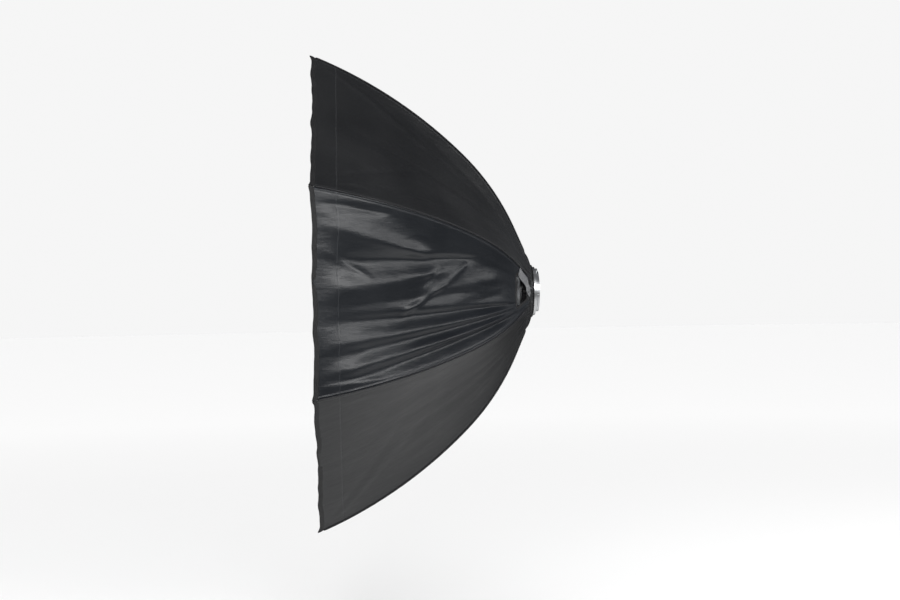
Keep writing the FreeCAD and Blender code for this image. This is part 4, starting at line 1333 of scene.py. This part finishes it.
def make_floor():
    """A pale floor that looks plain to its far edge, and that glossy cloth sees only close by."""
    bm = bmesh.new()
    bmesh.ops.create_circle(bm, cap_ends=True, segments=96, radius=FLOOR_RADIUS)
    bmesh.ops.translate(bm, vec=(0, 0, FLOOR_Z), verts=bm.verts)
    mesh = bpy.data.meshes.new("floor")
    bm.to_mesh(mesh)
    bm.free()
    floor = bpy.data.objects.new("floor", mesh)
    bpy.context.collection.objects.link(floor)
    made, n, shader = new_material("pale_floor", (0.85, 0.85, 0.85))
    where = coordinates(n)
    tone = n.mix(n.noise(where, 0.6, 3.0), (0.875, 0.875, 0.875), (0.885, 0.885, 0.885))
    away = n.add("ShaderNodeVectorMath", operation="LENGTH")
    n.feed(away.inputs[0], where)
    dim = n.mix(n.ramp(away.outputs["Value"], 0.9, 1.9), (0.72, 0.72, 0.72), (0.03, 0.03, 0.03))
    path = n.add("ShaderNodeLightPath")
    n.feed(shader.inputs["Base Color"], n.mix(path.outputs["Is Glossy Ray"], tone, dim))
    glow = n.ramp(away.outputs["Value"], 1.0, 7.0, 0.02, 0.19)
    plain = n.math("SUBTRACT", 1.0, path.outputs["Is Glossy Ray"])
    n.feed(shader.inputs["Emission Strength"], n.math("MULTIPLY", glow, plain))
    shader.inputs["Emission Color"].default_value = (1, 1, 1, 1)
    shader.inputs["Roughness"].default_value = 0.9
    mesh.materials.append(made)


def make_world():
    """A pale room. Glossy cloth sees it dark, and darker overhead."""
    world = bpy.data.worlds.new("studio")
    world.use_nodes = True
    n = Nodes(world.node_tree)
    back = world.node_tree.nodes["Background"]
    path = n.add("ShaderNodeLightPath")
    parts = n.add("ShaderNodeSeparateXYZ")
    n.feed(parts.inputs[0], n.add("ShaderNodeTexCoord").outputs["Generated"])
    height = n.ramp(parts.outputs[2], -0.1, 0.5)
    room = n.mix(height, (0.19, 0.20, 0.215), (0.025, 0.027, 0.032))
    seen = n.mix(path.outputs["Is Glossy Ray"], (0.92, 0.92, 0.92), room)
    n.feed(back.inputs["Color"], seen)
    bpy.context.scene.world = world


def add_light(name, place, aim, size, power):
    """A soft rectangular light that the camera doesn't see."""
    data = bpy.data.lights.new(name, "AREA")
    data.shape = "RECTANGLE"
    data.size, data.size_y = size
    data.energy = power
    lamp = bpy.data.objects.new(name, data)
    lamp.location = place
    lamp.visible_camera = False
    lamp.rotation_euler = (Vector(aim) - Vector(place)).to_track_quat("-Z", "Y").to_euler()
    bpy.context.collection.objects.link(lamp)


# Each light's name, place, aim, size and power.
LIGHTS = (
    ("key", (0.1, -3.1, 1.20), (-0.25, -0.4, 0), (3.0, 1.1), 70),
    ("side", (2.5, -2.3, 1.15), (-0.2, -0.3, 0), (1.7, 1.0), 30),
    ("right", (3.3, -0.3, 0.75), (-0.1, -0.2, 0), (1.6, 0.9), 12),
    ("fill", (-2.6, -3.0, 0.6), (-0.3, 0, 0), (1.4, 1.4), 8),
    ("top", (-0.6, 0.6, 3.2), (-0.25, 0, 0), (2.0, 2.0), 4),
)


def make_camera():
    """The camera looks along Y, a little towards X, and is rolled by a degree."""
    data = bpy.data.cameras.new("camera")
    data.lens = 64.6
    camera = bpy.data.objects.new("camera", data)
    place = Vector((-0.45, -4.0, -0.019))
    aim = Vector((-0.2097, 0, -0.019))
    look = (aim - place).to_track_quat("-Z", "Y").to_matrix()
    roll = Matrix.Rotation(math.radians(-1.0), 3, "Z")
    camera.rotation_euler = (look @ roll).to_euler()
    camera.location = place
    bpy.context.collection.objects.link(camera)
    bpy.context.scene.camera = camera


make_gores()
make_piping()
make_front_binding()
make_tapes()
make_diffuser()
make_baffle()
make_baffle_tabs()
make_corner_pockets()
make_collar()
make_collar_hem()
for direction in OPEN_SIDES:
    make_opening_binding(direction)
    make_strap(direction)
finish_cad_pieces()
make_floor()
make_world()
for light in LIGHTS:
    add_light(*light)
make_camera()
bpy.context.scene.view_settings.view_transform = "Standard"
